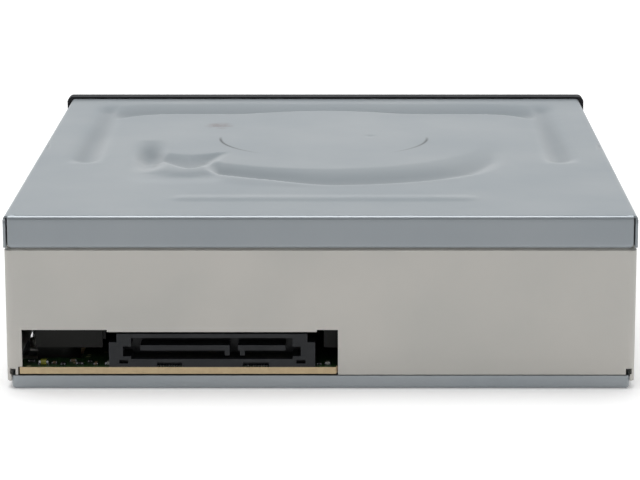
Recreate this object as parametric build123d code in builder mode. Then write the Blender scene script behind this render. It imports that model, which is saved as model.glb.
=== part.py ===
# Half-height internal optical disc writer, 146 x 41 mm body, 170 mm deep with its front panel.
# X runs across the width, +Y runs from the front panel to the rear socket, +Z is up.
# The origin lies on the underside, at the middle of the width and of the whole depth.
from build123d import *
from math import acos, atan2, cos, hypot, pi, radians, sin, tan
import os

os.makedirs("parts", exist_ok=True)

# Outer envelope
body_width = 146.0
body_depth = 165.0
body_height = 41.0
bezel_depth = 5.0
bezel_side_lap = 1.4
bezel_top_lap = 0.6
front_y = -(bezel_depth + body_depth) / 2
bezel_back_y = front_y + bezel_depth
rear_y = bezel_back_y + body_depth
half_width = body_width / 2

# Sheet metal
lid_sheet = 0.6
base_sheet = 0.6
chassis_sheet = 0.8
seam_gap = 0.1
bend_radius = 0.9
lid_flange_height = 7.4
lid_corner_slit = 0.4
lid_under_z = body_height - lid_sheet
lid_flange_bottom_z = body_height - lid_flange_height
metal_front_y = bezel_back_y + seam_gap

# Pressings of the lid: a horseshoe trough round the clamp that deepens outwards, a U channel in front
# of it that deepens rearwards, a lobe beside it and a straight raised bead behind it
pressing_depth = 1.1
pressing_taper = 35
plateau_radius = 46.0
ring_inner_radius = 46.5
ring_deep_radius = 62.6
ring_outer_radius = 65.7
ring_left_x = 27.0
ring_right_x = -48.0
ring_front_y = -11.0
channel_front_y = -77.0
channel_deep_y = -58.0
channel_rear_y = -56.0
channel_half_width = 62.5
channel_leg_width = 7.0
channel_leg_end_y = 18.0
channel_corner_radius = 5.0
bead_left_x = 36.0
bead_right_x = -37.5
bead_y = 64.5
bead_width = 3.6
bead_rise = 0.4
pressing_margin = 0.6 * lid_sheet
# Points of the lobe: its tip and outer side, its outer arc, its rear and inner side, its inner arc
lobe_tip = [(41.5, -1.0), (47.5, -6.0), (44.6, 16.5)]
lobe_outer_arc = [(44.6, 16.5), (41.5, 31.5), (35.3, 40.3)]
lobe_rear = [(35.3, 40.3), (29.2, 34.5), (28.5, 6.5)]
lobe_inner_arc = [(28.5, 6.5), (36.0, 5.6), (41.5, -1.0)]
clamp_ring_radius = 28.0
clamp_ring_width = 0.8
clamp_ring_depth = 0.15

# Chassis walls
chassis_corner_radius = 2.0
side_wall_bottom_z = 1.8
rear_wall_bottom_z = 3.4
chassis_top_z = lid_under_z - seam_gap
joggle_height = 0.7
joggle_inset = lid_sheet + seam_gap
joggle_bottom_z = lid_flange_bottom_z - seam_gap - joggle_height
chassis_inner_x = half_width - chassis_sheet

# Holes that the drive bay standard sets
bay_hole_radius = 1.25
bay_collar_wall = 0.7
bay_collar_length = 1.6
bay_hole_pitch_y = 79.25
bay_hole_from_bezel = 47.5
bay_bottom_spread_x = 139.7
bay_side_low_z = 10.0
bay_side_pitch_z = 11.84
bay_hole_mid_y = bezel_back_y + bay_hole_from_bezel + bay_hole_pitch_y / 2
bay_hole_ys = [bay_hole_mid_y - bay_hole_pitch_y / 2, bay_hole_mid_y + bay_hole_pitch_y / 2]
bay_tab_length = 9.0
bay_tab_inner_x = 66.3

corner_relief_height = 1.4
corner_relief_width = 1.4
corner_relief_inset = 0.2
front_trim_height = 0.2
opening_left_x = 69.3
opening_right_x = -4.0
opening_top_z = 14.1
opening_middle_z = 13.6
opening_gap = 0.4
opening_sill_gap = 0.1
ear_bottom_z = 2.45
ear_length = 9.0
ear_inner_x = 55.5
ear_cover_gap = 0.3

# Bottom cover
base_half_width = 71.8
base_lip_height = 3.15
cover_screw_x = 61.0
cover_screw_ys = [-71.5, 71.5]
cover_screw_length = 7.0
dimple_radius = 4.4
dimple_rise = 1.8
dimple_slope = 0.8
base_fold_share = 0.98
tab_gap = 0.9

# Screws; a head's rounding and cross follow its height and radius, a shank's chamfer its radius
m3_radius = 1.45
m3_hole_radius = 1.7
m3_pilot_radius = 1.48
m3_head_radius = 2.8
m3_head_height = 1.5
m2_radius = 0.95
m2_hole_radius = 1.2
m2_pilot_radius = 0.98
m2_head_radius = 1.9
m2_head_height = 0.9
cross_width = 0.6
cross_reach = 1.1
cross_sink = 0.6
head_round = 0.55
shank_chamfer = 0.3

# Main board and its heights
board_bottom_z = 3.6
board_thickness = 1.6
board_top_z = board_bottom_z + board_thickness
board_front_y = 26.0
board_half_width = 66.0
board_wall_gap = 0.3
board_tongue_left_x = 69.9
board_tongue_right_x = -3.6
board_screw_places = [(-56.0, 32.0), (56.0, 32.0), (-44.0, 77.0)]

board_tongue_depth = 7.5
board_post_gap = 0.8
chip_lead_width = 0.4
chip_lead_reach = 1.0
chip_lead_height = 0.4
chip_lead_margin = 1.0
chip_lead_bury = 0.1
chip_stand_off = 0.1
chip_edge_chamfer = 0.2
# Middle X and Y, width, depth, height, leads a side and the turns of the sides that have them
controller_row = (-22.0, 50.0, 20.0, 20.0, 1.4, 16, (0, 90, 180, 270))
driver_row = (16.0, 44.0, 14.0, 9.0, 1.6, 12, (0, 180))
memory_row = (-48.0, 52.0, 8.0, 11.0, 1.2, 8, (90, 270))
capacitor_foot_width = 3.4
capacitor_foot_height = 0.6
capacitor_radius = 1.5
capacitor_height = 2.6
capacitor_places = [(34.0, 60.0), (38.5, 60.0), (34.0, 34.0), (-4.0, 34.0)]
cable_socket_places = [(-30.0, 30.5, 40), (8.0, 30.5, 24), (40.0, 40.0, 8)]
cable_pin_pitch = 0.5
cable_end_margin = 1.0
cable_socket_wall = 1.0
cable_socket_depth = 4.4
cable_socket_height = 1.9
cable_mouth_rise = 0.7
cable_mouth_depth = 2.5
cable_mouth_height = 0.4
# Middle X and Y, width, depth and height of each
passive_sizes = [(66.8, 82.6, 2.0, 1.2, 0.8), (63.9, 82.2, 1.6, 0.8, 0.6), (60.4, 82.4, 3.0, 1.6, 1.3),
                 (56.8, 82.8, 1.6, 0.8, 0.6), (54.4, 82.6, 1.0, 1.6, 0.7), (51.6, 82.2, 2.2, 2.6, 1.5),
                 (0.0, 83.0, 1.2, 0.7, 0.5), (-2.0, 82.6, 1.0, 0.6, 0.5)]

# Rear socket
socket_left_x = 49.1
socket_right_x = 1.3
socket_height = 7.9
socket_length = 8.0
socket_step_x = 1.8
socket_step_z = 2.0
socket_cavity_left_x = 44.0
socket_cavity_right_x = 6.5
socket_cavity_floor = 1.9
socket_cavity_roof = 0.9
socket_cavity_depth = 6.4
power_tongue_left_x = 41.9
power_tongue_right_x = 21.2
signal_tongue_left_x = 19.2
signal_tongue_right_x = 8.2
tongue_bottom = 3.74
tongue_thickness = 1.21
tongue_hook_width = 1.1
tongue_hook_drop = 1.2
tongue_length = 5.4
tongue_root = 0.5
signal_hook_inset = 0.4 * tongue_hook_width
socket_peg_radius = 0.8
socket_peg_inset = 3.0
socket_peg_gap = 0.05
socket_pocket_left_inset = 3.4
socket_pocket_right_inset = 3.3
socket_pocket_rise = 1.3
socket_pocket_width = 2.1
socket_pocket_height = 0.9
solder_windows = [(38.0, 32.2), (18.1, 12.0)]
solder_window_height = 1.2
solder_window_depth = 1.6
socket_key_rise = 0.65
socket_key_height = 2.4
socket_key_depth = 1.9
contact_pitch = 1.27
contact_width = 0.8
contact_thickness = 0.1
contact_sheet = 0.3
contact_foot = 1.6
contact_setback = 0.6
contact_gap = 0.02
power_contact_count = 15
signal_contact_count = 7

# Tray and disc
disc_radius = 60.0
disc_from_bezel = 63.5
disc_y = bezel_back_y + disc_from_bezel
tray_travel = 132.0
tray_half_width = 64.5
tray_top_z = 31.0
tray_wall = 1.6
tray_rear_y = 76.0
tray_skirt_bottom_z = 25.0
disc_recess_radius = disc_radius + 0.5
disc_recess_depth = 2.8
small_recess_radius = 40.5
small_recess_depth = 4.2
tray_slot_half_width = 21.5
tray_slot_rear_y = 61.0
tray_tail_gap_half_width = 40.0
tray_tail_gap_front_y = 66.0
tray_running_gap = 0.35
tray_front_y = -80.2
tray_front_rise = 6.0
tray_corner_radius = 3.0
finger_radius = 9.0
finger_x = 54.0
finger_dy = 36.0

# Front panel
bezel_wall = 1.5
bezel_corner_radius = 1.5
door_half_width = 65.3
door_bottom_z = 20.3
door_top_z = 36.8
door_gap = 0.3
door_thickness = 2.4
button_x = 52.0
button_z = 9.4
button_width = 13.0
button_height = 5.4
button_proud = 0.6
button_travel = 1.2
button_gap = 0.2
button_corner_radius = 1.0
button_edge_radius = 0.4
button_root = 0.3
button_collar_gap = 0.1
button_collar_margin = 1.0
button_collar_thickness = 1.0
button_stem_width = 3.0
lamp_x = 39.0
lamp_radius = 1.2
lamp_hole_gap = 0.02
lamp_proud = 0.2
lamp_root = 0.1
lamp_edge_radius = 0.3
lamp_flange = 0.6
release_hole_x = 26.0
release_hole_radius = 0.8
snap_thickness = 1.1
snap_length = 9.0
snap_zs = [8.0, 28.0]
snap_width = 5.0
snap_window_length = 2.6
snap_window_gap = 0.4
snap_side_gap = 0.15
snap_barb_inset = 0.1
snap_barb_half_length = 1.1
snap_window_y = bezel_back_y + 6.2

bezel_edge_chamfer = 0.5
bezel_rim = 1.2
bezel_rim_depth = 2.2
door_wall = 1.4
door_depth = 4.6
door_corner_radius = 0.8
button_stem_gap = 0.05
switch_body_depth = 2.2
switch_body_width = 6.0
switch_plunger_radius = 1.6
led_width = 2.0
led_depth = 0.9
led_height = 1.4
switch_plunger_length = 0.9
lamp_guide_length = 1.6

# Loader frame
loader_half_width = 66.8
loader_wall = 1.6
loader_front_y = -79.2
loader_rear_y = 79.0
loader_wall_bottom_z = 8.4
loader_wall_top_z = 33.4
deck_bottom_z = 13.8
deck_thickness = 1.6
deck_rear_y = -59.6
deck_top_z = deck_bottom_z + deck_thickness
post_radius = 4.0
rail_thickness = 1.4
rail_width = 2.6
latch_bottom_z = 29.9
latch_height = 1.6
hold_down_ys = [-60.0, -44.0, 30.0, 62.0]
hold_down_length = 9.0
front_wall_top_z = 19.4
rear_beam_top_z = 22.0
rear_beam_depth = 4.0
board_boss_radius = 2.6
board_bracket_z = loader_wall_bottom_z
board_screw_length = 5.0
board_screw_end_gap = 0.4
socket_cutout_margin = 2.0
socket_cutout_gap = 0.5
lug_inner_x = 50.4
lug_thickness = 3.0
lug_radius = 3.8
lug_bottom_z = 10.2
gear_foot_height = 0.5
switch_guide_height = 3.0
switch_guide_length = 3.0
switch_guide_inset = 1.5
switch_guide_wall = 1.5
switch_guide_gap = 0.05
switch_guide_overrun = 0.2

# Loading gear train
rack_module = 1.0
rack_pinion_teeth = 16
wheel_module = 0.6
wheel_teeth = 34
pulley_pinion_teeth = 14
tooth_backlash = 0.14
tooth_addendum = 0.8
tooth_dedendum = 1.1
pressure_angle = radians(20)
rack_pitch_x = -57.0
rack_front_y = -73.0
rack_length = 147.0
rack_back_width = 2.6
gear_y = -66.0
gear_bore_radius = 1.56
gear_axle_radius = 1.5
gear_axle_foot_wall = 1.2
gear_axle_end = 0.3
pulley_sleeve_wall = 1.2
drive_sleeve_wall = 1.4
drive_sleeve_gap = 0.1
drive_gear_x = rack_pitch_x + rack_module * rack_pinion_teeth / 2
wheel_distance = wheel_module * (wheel_teeth + pulley_pinion_teeth) / 2
pulley_gear_x = drive_gear_x + wheel_distance
pulley_bottom_z = 16.0
pulley_height = 2.6
wheel_bottom_z = 19.2
wheel_height = 2.2
pinion_top_z = 24.4
rack_bottom_z = 21.8
pulley_radius = 7.6
pulley_groove = 0.9
pulley_groove_gap = 0.05
pulley_groove_flare = 0.35
pulley_groove_overrun = 1.0
motor_pulley_radius = 3.0
belt_thickness = 0.8
belt_gap = 0.05
motor_x = 2.0
motor_y = -70.0
motor_radius = 7.0
motor_height = 9.6
motor_shaft_radius = 0.75
motor_shaft_gap = 0.05
motor_shaft_press = 0.02
motor_shaft_foot = 2.6
motor_shaft_end = 0.2
motor_cap = 2.0
motor_edge_radius = 0.5
motor_boss_radius = 2.5
motor_boss_gap = 0.2
motor_boss_height = 1.4

# Cam slider and lift
pivot_y = 70.0
pivot_z = 14.5
pivot_radius = 2.0
pivot_clearance = 0.08
lift_angle = 6.0
cam_travel = 22.0
cam_pin_radius = 1.5
cam_pin_xs = [-11.0, 13.0]
cam_pin_level_z = 18.0
cam_plate_front_y = -57.6
cam_plate_thickness = 1.4
cam_slot_gap = 0.3
cam_plate_bottom_z = 1.8
cam_plate_top_z = 21.2
cam_foot_length = 4.2
cam_foot_thickness = 1.2
cam_foot_bottom_z = 12.4
cam_foot_front_y = cam_plate_front_y - cam_foot_length
cam_hook_xs = [-27.0, 29.0]
cam_hook_length = 6.0
cam_hook_width = 1.6
cam_hook_gap = 0.15
cam_hook_thickness = 1.2
cam_hook_lip = 1.6
cam_end_wall = 2.8
cam_foot_overhang = 18.0
cam_pin_reach = 1.2
cam_notch_gap = 0.4

# Lift frame, built level as it stands when raised
lift_half_width = 49.0
lift_bar_width = 9.0
lift_bottom_z = 13.5
lift_top_z = 16.6
lift_front_y = -50.0
lift_rear_y = 68.5
lift_bar_depth = 4.5
lift_bar_lap = 1.1
lift_bar_foot = 1.0
lift_corner_radius = 2.0
pivot_boss_wall = 1.0
lift_screw_floor = 0.4
damper_x = 43.5
damper_ys = [-30.0, 42.0]
damper_flange_radius = 3.4
damper_flange_height = 0.8
damper_neck_radius = 2.3
damper_neck_gap = 0.05
damper_arm_margin = 0.5
damper_head_margin = 0.7
damper_screw_reach = 2.4
lift_front_top_z = 21.0
lift_pocket_ys = [-14.0, 6.0, 26.0, 57.0]
lift_pocket_length = 12.0
lift_pocket_margin = 1.5
lift_pocket_floor = 1.2

# Traverse plate with the disc motor and the pickup
plate_sheet = 1.0
plate_bottom_z = lift_top_z + damper_flange_height
plate_top_z = plate_bottom_z + plate_sheet
plate_half_width = 38.5
plate_front_y = -42.0
plate_rear_y = 62.0
plate_corner_radius = 4.0
sled_side_gap = 1.0
sled_front_gap = 1.0
sled_rear_gap = 0.5
motor_side_gap = 0.7
motor_front_gap = 1.0
motor_rear_gap = 0.2
spindle_y = disc_y
seat_z = 30.6
hub_radius = 7.35
hub_height = 2.2
turntable_radius = 15.0
turntable_chamfer = 0.6
hub_groove_width = 0.9
hub_groove_depth = 0.5
hub_straight_share = 0.45
hub_taper = 2.2
pad_width = 3.4
pad_thickness = 0.5
rotor_radius = 13.0
rotor_top_z = 27.8
rotor_stand_off = 1.2
rotor_wall = 0.8
rotor_edge_radius = 0.8
stator_foot_margin = 3.0
stator_corner_radius = 3.0
stator_base_thickness = 0.6
bearing_radius = 3.0
bearing_height = 6.4
spindle_radius = 1.0
spindle_gap = 0.05
spindle_foot_gap = 0.4
rod_x = 24.5
rod_z = 21.5
rod_radius = 1.5
rod_clearance = 0.06
rod_clamp_wall = 1.1
rod_clamp_roof = 0.8
rod_clamp_gap = 0.02
rod_clamp_front_inset = 0.6
rod_clamp_rear_inset = 0.4
rod_front_y = -7.0
rod_rear_y = 61.0
sled_travel = 34.0
lens_inner_radius = 23.5
lens_y = spindle_y + lens_inner_radius
sled_half_width = 20.3
sled_front_y = lens_y - 8.3
sled_length = 25.0
sled_bottom_z = 15.4
sled_top_z = 23.6
screw_axis_x = -32.5
screw_axis_z = 20.4
lead_screw_radius = 1.2
lead_screw_gap = 0.05
lead_screw_reach = 3.0
lead_screw_bore_depth = 3.2
lead_screw_chamfer = 0.2
lead_screw_lead = 3.0
sled_motor_radius = 4.0
sled_motor_length = 15.0
sled_motor_edge_radius = 0.6
sled_motor_front_y = -14.0
rod_clamp_length = 2.8
bracket_sheet = 0.5
bracket_bearing_wall = 0.9
sled_block_half = 3.8
sled_block_height = 5.6
sled_block_overlap = 1.0
sled_bearing_start = 5.2
sled_fork_start = 9.0
sled_fork_length = 7.0
sled_pocket_depth = 4.5
sled_front_chamfer = 5.0
sled_rear_radius = 2.0
sled_side_wall = 3.0
sled_end_wall = 3.5
sled_bore_overrun = 1.0
nut_start = 12.0
nut_length = 6.0
nut_height = 2.4
nut_thread_gap = 0.08
coil_count = 9
coil_core_radius = 5.0
coil_middle_radius = 8.0
coil_length = 7.0
coil_width = 3.0
coil_height = 4.0
coil_bottom = 1.8
yoke_length = 14.0
yoke_sheet = 0.8
yoke_width = 18.0
yoke_wing_width = 11.0
yoke_wing_height = 4.0
lens_magnet_width = 9.0
lens_magnet_thickness = 1.2
lens_magnet_height = 2.8
lens_gap = 0.5
lens_float = 0.7
lens_radius = 2.4
lens_ledge = 0.6
lens_seat_depth = 0.6
lens_fit_gap = 0.03
lens_rim_width = 0.5
lens_rim_height = 0.5
lens_middle_radius = 1.2
lens_middle_height = 0.85
lens_flat_radius = 0.3
lens_height = 1.0
holder_height = 3.0
holder_width = 12.0
holder_corner_radius = 1.2

# Disc clamp
bridge_bottom_z = loader_wall_top_z
bridge_sheet = 1.0
bridge_depth = 38.0
bridge_slot_x = 38.0
bridge_slot_length = 26.0
bridge_slot_width = 12.0
hub_pocket_depth = 1.9
hub_pocket_margin = 0.9
bridge_edge_radius = 1.2
bridge_top_z = bridge_bottom_z + bridge_sheet
puck_radius = 13.4
puck_bottom_z = 31.4
puck_flange_radius = 17.0
puck_flange_thickness = 1.0
puck_hang_gap = 0.1
puck_edge_radius = 0.5
bridge_hole_radius = puck_radius + 1.1
magnet_radius = 10.5
magnet_height = 1.6
magnet_fit_gap = 0.1
magnet_plate_margin = 1.6
magnet_plate_chamfer = 0.2
yoke_thickness = 0.6
bridge_flange_gap = 0.1
bridge_flange_bottom_z = 28.6
bridge_window_height = 1.8
bridge_window_length = 5.0
bridge_latch_dys = [-10.0, 10.0]

# Switch board behind the front panel
switch_board_x = 47.5
switch_board_width = 22.0
switch_board_bottom_z = 4.2
switch_board_top_z = 13.6
switch_board_y = -75.8
switch_board_thickness = 1.2
switch_front_y = switch_board_y - switch_board_thickness / 2
switch_plunger_front_y = switch_front_y - switch_body_depth - switch_plunger_length
button_stem_rear_y = switch_plunger_front_y - button_travel - button_stem_gap

lift_axis = Axis((0, pivot_y, pivot_z), (1, 0, 0))


# A piece that rides on the lift is built level and lowered about the rear pivots
def lowered(level_part, name):
    part = level_part.rotate(lift_axis, lift_angle)
    part.label = name
    return part


# Angle that an involute of base radius b unwinds to at radius r
def involute_angle(base_radius, radius):
    if radius <= base_radius:
        return 0.0
    return tan(acos(base_radius / radius)) - acos(base_radius / radius)


# Outline of a spur gear: flanks follow the involute from the base circle out,
# and run straight down to the root circle below it
def gear_points(module, teeth, phase):
    pitch_radius = module * teeth / 2
    base_radius = pitch_radius * cos(pressure_angle)
    tip_radius = pitch_radius + tooth_addendum * module
    root_radius = pitch_radius - tooth_dedendum * module
    half_tooth = (pi * module / 2 - tooth_backlash) / 2 / pitch_radius
    pitch_turn = involute_angle(base_radius, pitch_radius)
    flank_start = max(base_radius, root_radius)
    radii = [flank_start + (tip_radius - flank_start) * step / 3 for step in range(4)]
    flank = [(r, half_tooth + pitch_turn - involute_angle(base_radius, r)) for r in radii]
    if root_radius < base_radius:
        flank.insert(0, (root_radius, flank[0][1]))
    points = []
    for tooth in range(teeth):
        middle = phase + 2 * pi * tooth / teeth
        points += [(r * cos(middle - turn), r * sin(middle - turn)) for r, turn in flank]
        points += [(r * cos(middle + turn), r * sin(middle + turn)) for r, turn in reversed(flank)]
    return points


# Pan head screw seen from its head: the head stands on the plane, the shank points away from it
def pan_screw(head_radius, head_height, shank_radius, shank_length):
    with BuildPart() as screw:
        with BuildSketch():
            Circle(head_radius)
        extrude(amount=head_height)
        fillet(screw.edges().group_by(Axis.Z)[-1], head_height * head_round)
        with BuildSketch(Plane.XY.offset(head_height)):
            Rectangle(head_radius * cross_reach, cross_width)
            Rectangle(cross_width, head_radius * cross_reach)
        extrude(amount=-head_height * cross_sink, mode=Mode.SUBTRACT)
        with BuildSketch():
            Circle(shank_radius)
        extrude(amount=-shank_length)
        chamfer(screw.edges().group_by(Axis.Z)[0], shank_radius * shank_chamfer)
    return screw.part


# Places copies of one screw, each head on its own plane
def screw_group(screw, planes):
    return Compound([plane.location * screw for plane in planes])


# Lid
# A pressing narrows downwards from its outline on the sheet
def pressed(outline, top_z):
    return extrude(Plane.XY.offset(top_z).location * outline, amount=-pressing_depth, dir=(0, 0, 1),
                   taper=pressing_taper)


# Horseshoe trough: its floor falls slowly outwards and its outer wall is short. In each of these
# the margin widens the shape for the underside of the sheet
def lid_ring(margin, top_z):
    with BuildSketch() as sector:
        with Locations((ring_right_x - margin, ring_front_y - margin)):
            Rectangle(ring_left_x - ring_right_x + 2 * margin, body_depth, align=(Align.MIN, Align.MIN))
    ring_block = pressed(sector.sketch.faces()[0], top_z)
    with BuildPart() as ring:
        with BuildSketch(Plane.XZ.offset(-disc_y)):
            with BuildLine():
                Polyline((ring_inner_radius - margin, top_z), (ring_deep_radius, top_z - pressing_depth),
                         (ring_outer_radius - pressing_depth + margin, top_z - pressing_depth),
                         (ring_outer_radius + margin, top_z), close=True)
            make_face()
        revolve(axis=Axis((0, disc_y, 0), (0, 0, 1)))
        add(ring_block, mode=Mode.INTERSECT)
    return ring.part


# U channel: a front band whose floor falls towards the clamp plateau, which bites into it, and two legs
def lid_channel(margin, top_z):
    half = channel_half_width + margin
    with BuildSketch() as channel:
        with Locations((0, channel_front_y - margin)):
            Rectangle(2 * half, channel_leg_end_y - channel_front_y + 2 * margin,
                      align=(Align.CENTER, Align.MIN))
        with Locations((0, channel_rear_y + margin)):
            Rectangle(2 * (half - channel_leg_width - 2 * margin), body_depth,
                      align=(Align.CENTER, Align.MIN), mode=Mode.SUBTRACT)
        with Locations((0, disc_y)):
            Circle(plateau_radius - margin, mode=Mode.SUBTRACT)
        fillet(channel.vertices().group_by(Axis.Y)[0], channel_corner_radius)
    channel_block = pressed(channel.sketch.faces()[0], top_z)
    with BuildPart() as floor:
        with BuildSketch(Plane.YZ.offset(-half_width)):
            with BuildLine():
                Polyline((channel_front_y - margin, top_z), (channel_deep_y, top_z - pressing_depth),
                         (half_width, top_z - pressing_depth), (half_width, top_z), close=True)
            make_face()
        extrude(amount=body_width)
        add(channel_block, mode=Mode.INTERSECT)
    return floor.part


# Lobe beside the clamp, concave towards it and curved with the disc outside
def lid_lobe(margin, top_z):
    with BuildSketch() as lobe:
        with BuildLine():
            Polyline(*lobe_tip)
            ThreePointArc(*lobe_outer_arc)
            Polyline(*lobe_rear)
            ThreePointArc(*lobe_inner_arc)
        make_face()
        if margin > 0:
            offset(amount=margin, kind=Kind.INTERSECTION)
    return pressed(lobe.sketch.faces()[0], top_z)


# Raised bead, narrower at its top
def lid_bead(margin, bottom_z):
    with BuildSketch() as bead:
        with Locations(((bead_left_x + bead_right_x) / 2, bead_y)):
            SlotOverall(bead_left_x - bead_right_x + 2 * margin, bead_width + 2 * margin)
    return extrude(Plane.XY.offset(bottom_z).location * bead.sketch.faces()[0], amount=bead_rise,
                   taper=pressing_taper)


# Tray-shaped block with its open side down and its upper edges rounded, open towards the front
def folded_block(block_width, front, rear, bottom, top, radius):
    with BuildPart() as block:
        with BuildSketch(Plane.XY.offset(bottom)):
            with Locations((0, front)):
                Rectangle(block_width, rear - front, align=(Align.CENTER, Align.MIN))
        extrude(amount=top - bottom)
        fillet(block.edges().group_by(Axis.Z)[-1].sort_by(Axis.Y)[1:], radius)
    return block.part


lid_pressings = (lid_ring, lid_channel, lid_lobe)
lid_under_pressings = [pressing(pressing_margin, lid_under_z) for pressing in lid_pressings]
lid_top_pressings = [pressing(0, body_height) for pressing in lid_pressings]
lid_bead_top = lid_bead(0, body_height)
lid_bead_hollow = lid_bead(-pressing_margin, lid_under_z)
with BuildPart() as top_cover:
    add(folded_block(body_width, metal_front_y, rear_y, lid_flange_bottom_z, body_height, bend_radius))
    add(folded_block(body_width - 2 * lid_sheet, metal_front_y - lid_sheet, rear_y - lid_sheet,
                     lid_flange_bottom_z, lid_under_z, bend_radius - lid_sheet), mode=Mode.SUBTRACT)
    for side in (-1, 1):
        with BuildSketch(Plane.XY.offset(lid_flange_bottom_z)):
            with Locations((side * (half_width - lid_sheet - lid_corner_slit / 2), rear_y)):
                Rectangle(lid_corner_slit, 4 * lid_sheet)
        extrude(amount=lid_flange_height - bend_radius, mode=Mode.SUBTRACT)
    add(lid_under_pressings)
    add(lid_top_pressings, mode=Mode.SUBTRACT)
    add(lid_bead_top)
    add(lid_bead_hollow, mode=Mode.SUBTRACT)
    with BuildSketch(Plane.XY.offset(body_height)):
        with Locations((0, disc_y)):
            Circle(clamp_ring_radius + clamp_ring_width / 2)
            Circle(clamp_ring_radius - clamp_ring_width / 2, mode=Mode.SUBTRACT)
    extrude(amount=-clamp_ring_depth, mode=Mode.SUBTRACT)
top_cover.part.label = "top_cover"
export_step(top_cover.part, "parts/top_cover.step")


# Chassis: one sheet folded to side walls and rear wall, set inwards at the top to lie under the lid
# Solid of the walls' outside, or of their inside when the sheet is given as margin
def joggled_block(margin, front, bottom):
    levels = [(bottom, joggle_bottom_z, 0), (joggle_bottom_z + joggle_height, chassis_top_z, joggle_inset)]
    with BuildPart() as block:
        for low, high, inset in levels:
            half = half_width - margin - inset
            with BuildSketch(Plane.XY.offset(low)) as outline:
                with Locations((0, front)):
                    Rectangle(2 * half, rear_y - margin - inset - front, align=(Align.CENTER, Align.MIN))
                fillet(outline.vertices().group_by(Axis.Y)[-1], chassis_corner_radius - margin)
            extrude(amount=high - low)
        lower_face = block.faces().filter_by(Axis.Z).sort_by(Axis.Z)[1]
        upper_face = block.faces().filter_by(Axis.Z).sort_by(Axis.Z)[2]
        loft([lower_face, upper_face])
    return block.part


with BuildPart() as chassis_frame:
    add(joggled_block(0, metal_front_y, side_wall_bottom_z))
    add(joggled_block(chassis_sheet, metal_front_y - chassis_sheet, side_wall_bottom_z - seam_gap),
        mode=Mode.SUBTRACT)
    with Locations((0, metal_front_y - chassis_sheet, chassis_top_z)):
        Box(body_width, 2 * chassis_sheet, front_trim_height, align=(Align.CENTER, Align.MIN, Align.MIN),
            mode=Mode.SUBTRACT)
    # The rear wall ends above the lip of the bottom cover, with a small relief at each corner
    with Locations((0, rear_y, side_wall_bottom_z)):
        Box(2 * base_half_width + 2 * seam_gap, 4 * chassis_sheet, rear_wall_bottom_z - side_wall_bottom_z,
            align=(Align.CENTER, Align.CENTER, Align.MIN), mode=Mode.SUBTRACT)
    for side in (-1, 1):
        with Locations((side * (base_half_width - corner_relief_inset), rear_y, rear_wall_bottom_z)):
            Box(corner_relief_width, 4 * chassis_sheet, corner_relief_height,
                align=(Align.CENTER, Align.CENTER, Align.MIN), mode=Mode.SUBTRACT)
    # Opening for the board's tongue and the socket, lower over the socket
    sill_left_x, sill_z = board_tongue_left_x + opening_gap, board_top_z + opening_sill_gap
    step_left_x, step_right_x = socket_left_x + opening_gap, socket_right_x - opening_gap
    with BuildSketch(Plane.XZ.offset(-rear_y)):
        with BuildLine():
            Polyline((opening_right_x, rear_wall_bottom_z), (sill_left_x, rear_wall_bottom_z),
                     (sill_left_x, sill_z), (opening_left_x, sill_z),
                     (opening_left_x, opening_top_z), (step_left_x, opening_top_z),
                     (step_left_x, opening_middle_z), (step_right_x, opening_middle_z),
                     (step_right_x, opening_top_z), (opening_right_x, opening_top_z), close=True)
        make_face()
    extrude(amount=2 * chassis_sheet, mode=Mode.SUBTRACT)
    for side in (-1, 1):
        wall_x = side * half_width
        for hole_y in bay_hole_ys:
            # Foot at the underside with an extruded thread collar, joined to the wall above it
            with Locations((wall_x, hole_y, 0)):
                Box(chassis_sheet, bay_tab_length, side_wall_bottom_z,
                    align=(Align.MAX if side > 0 else Align.MIN, Align.CENTER, Align.MIN))
                Box(half_width - bay_tab_inner_x, bay_tab_length, chassis_sheet,
                    align=(Align.MAX if side > 0 else Align.MIN, Align.CENTER, Align.MIN))
            with Locations((side * bay_bottom_spread_x / 2, hole_y, 0)):
                Cylinder(bay_hole_radius + bay_collar_wall, chassis_sheet + bay_collar_length,
                         align=(Align.CENTER, Align.CENTER, Align.MIN))
                Cylinder(bay_hole_radius, 3 * (chassis_sheet + bay_collar_length), mode=Mode.SUBTRACT)
            for hole_z in (bay_side_low_z, bay_side_low_z + bay_side_pitch_z):
                with Locations(Location((wall_x, hole_y, hole_z), (0, -side * 90, 0))):
                    Cylinder(bay_hole_radius + bay_collar_wall, chassis_sheet + bay_collar_length,
                             align=(Align.CENTER, Align.CENTER, Align.MIN))
                    Cylinder(bay_hole_radius, 3 * (chassis_sheet + bay_collar_length), mode=Mode.SUBTRACT)
        # Ears that the cover screws pass through
        for ear_y in cover_screw_ys:
            with Locations((side * chassis_inner_x, ear_y, ear_bottom_z)):
                Box(chassis_inner_x - ear_inner_x, ear_length, chassis_sheet,
                    align=(Align.MAX if side > 0 else Align.MIN, Align.CENTER, Align.MIN))
            with Locations((side * cover_screw_x, ear_y, ear_bottom_z)):
                Cylinder(m3_hole_radius, 3 * chassis_sheet, mode=Mode.SUBTRACT)
        # Windows for the snaps of the front panel
        for snap_z in snap_zs:
            with Locations((wall_x, snap_window_y, snap_z)):
                Box(4 * chassis_sheet, snap_window_length, snap_width + snap_window_gap, mode=Mode.SUBTRACT)
chassis_frame.part.label = "chassis_frame"
export_step(chassis_frame.part, "parts/chassis_frame.step")

# Bottom cover: a shallow tray that fits between the chassis walls and closes the rear with its lip
base_front_y = metal_front_y + seam_gap
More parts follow.
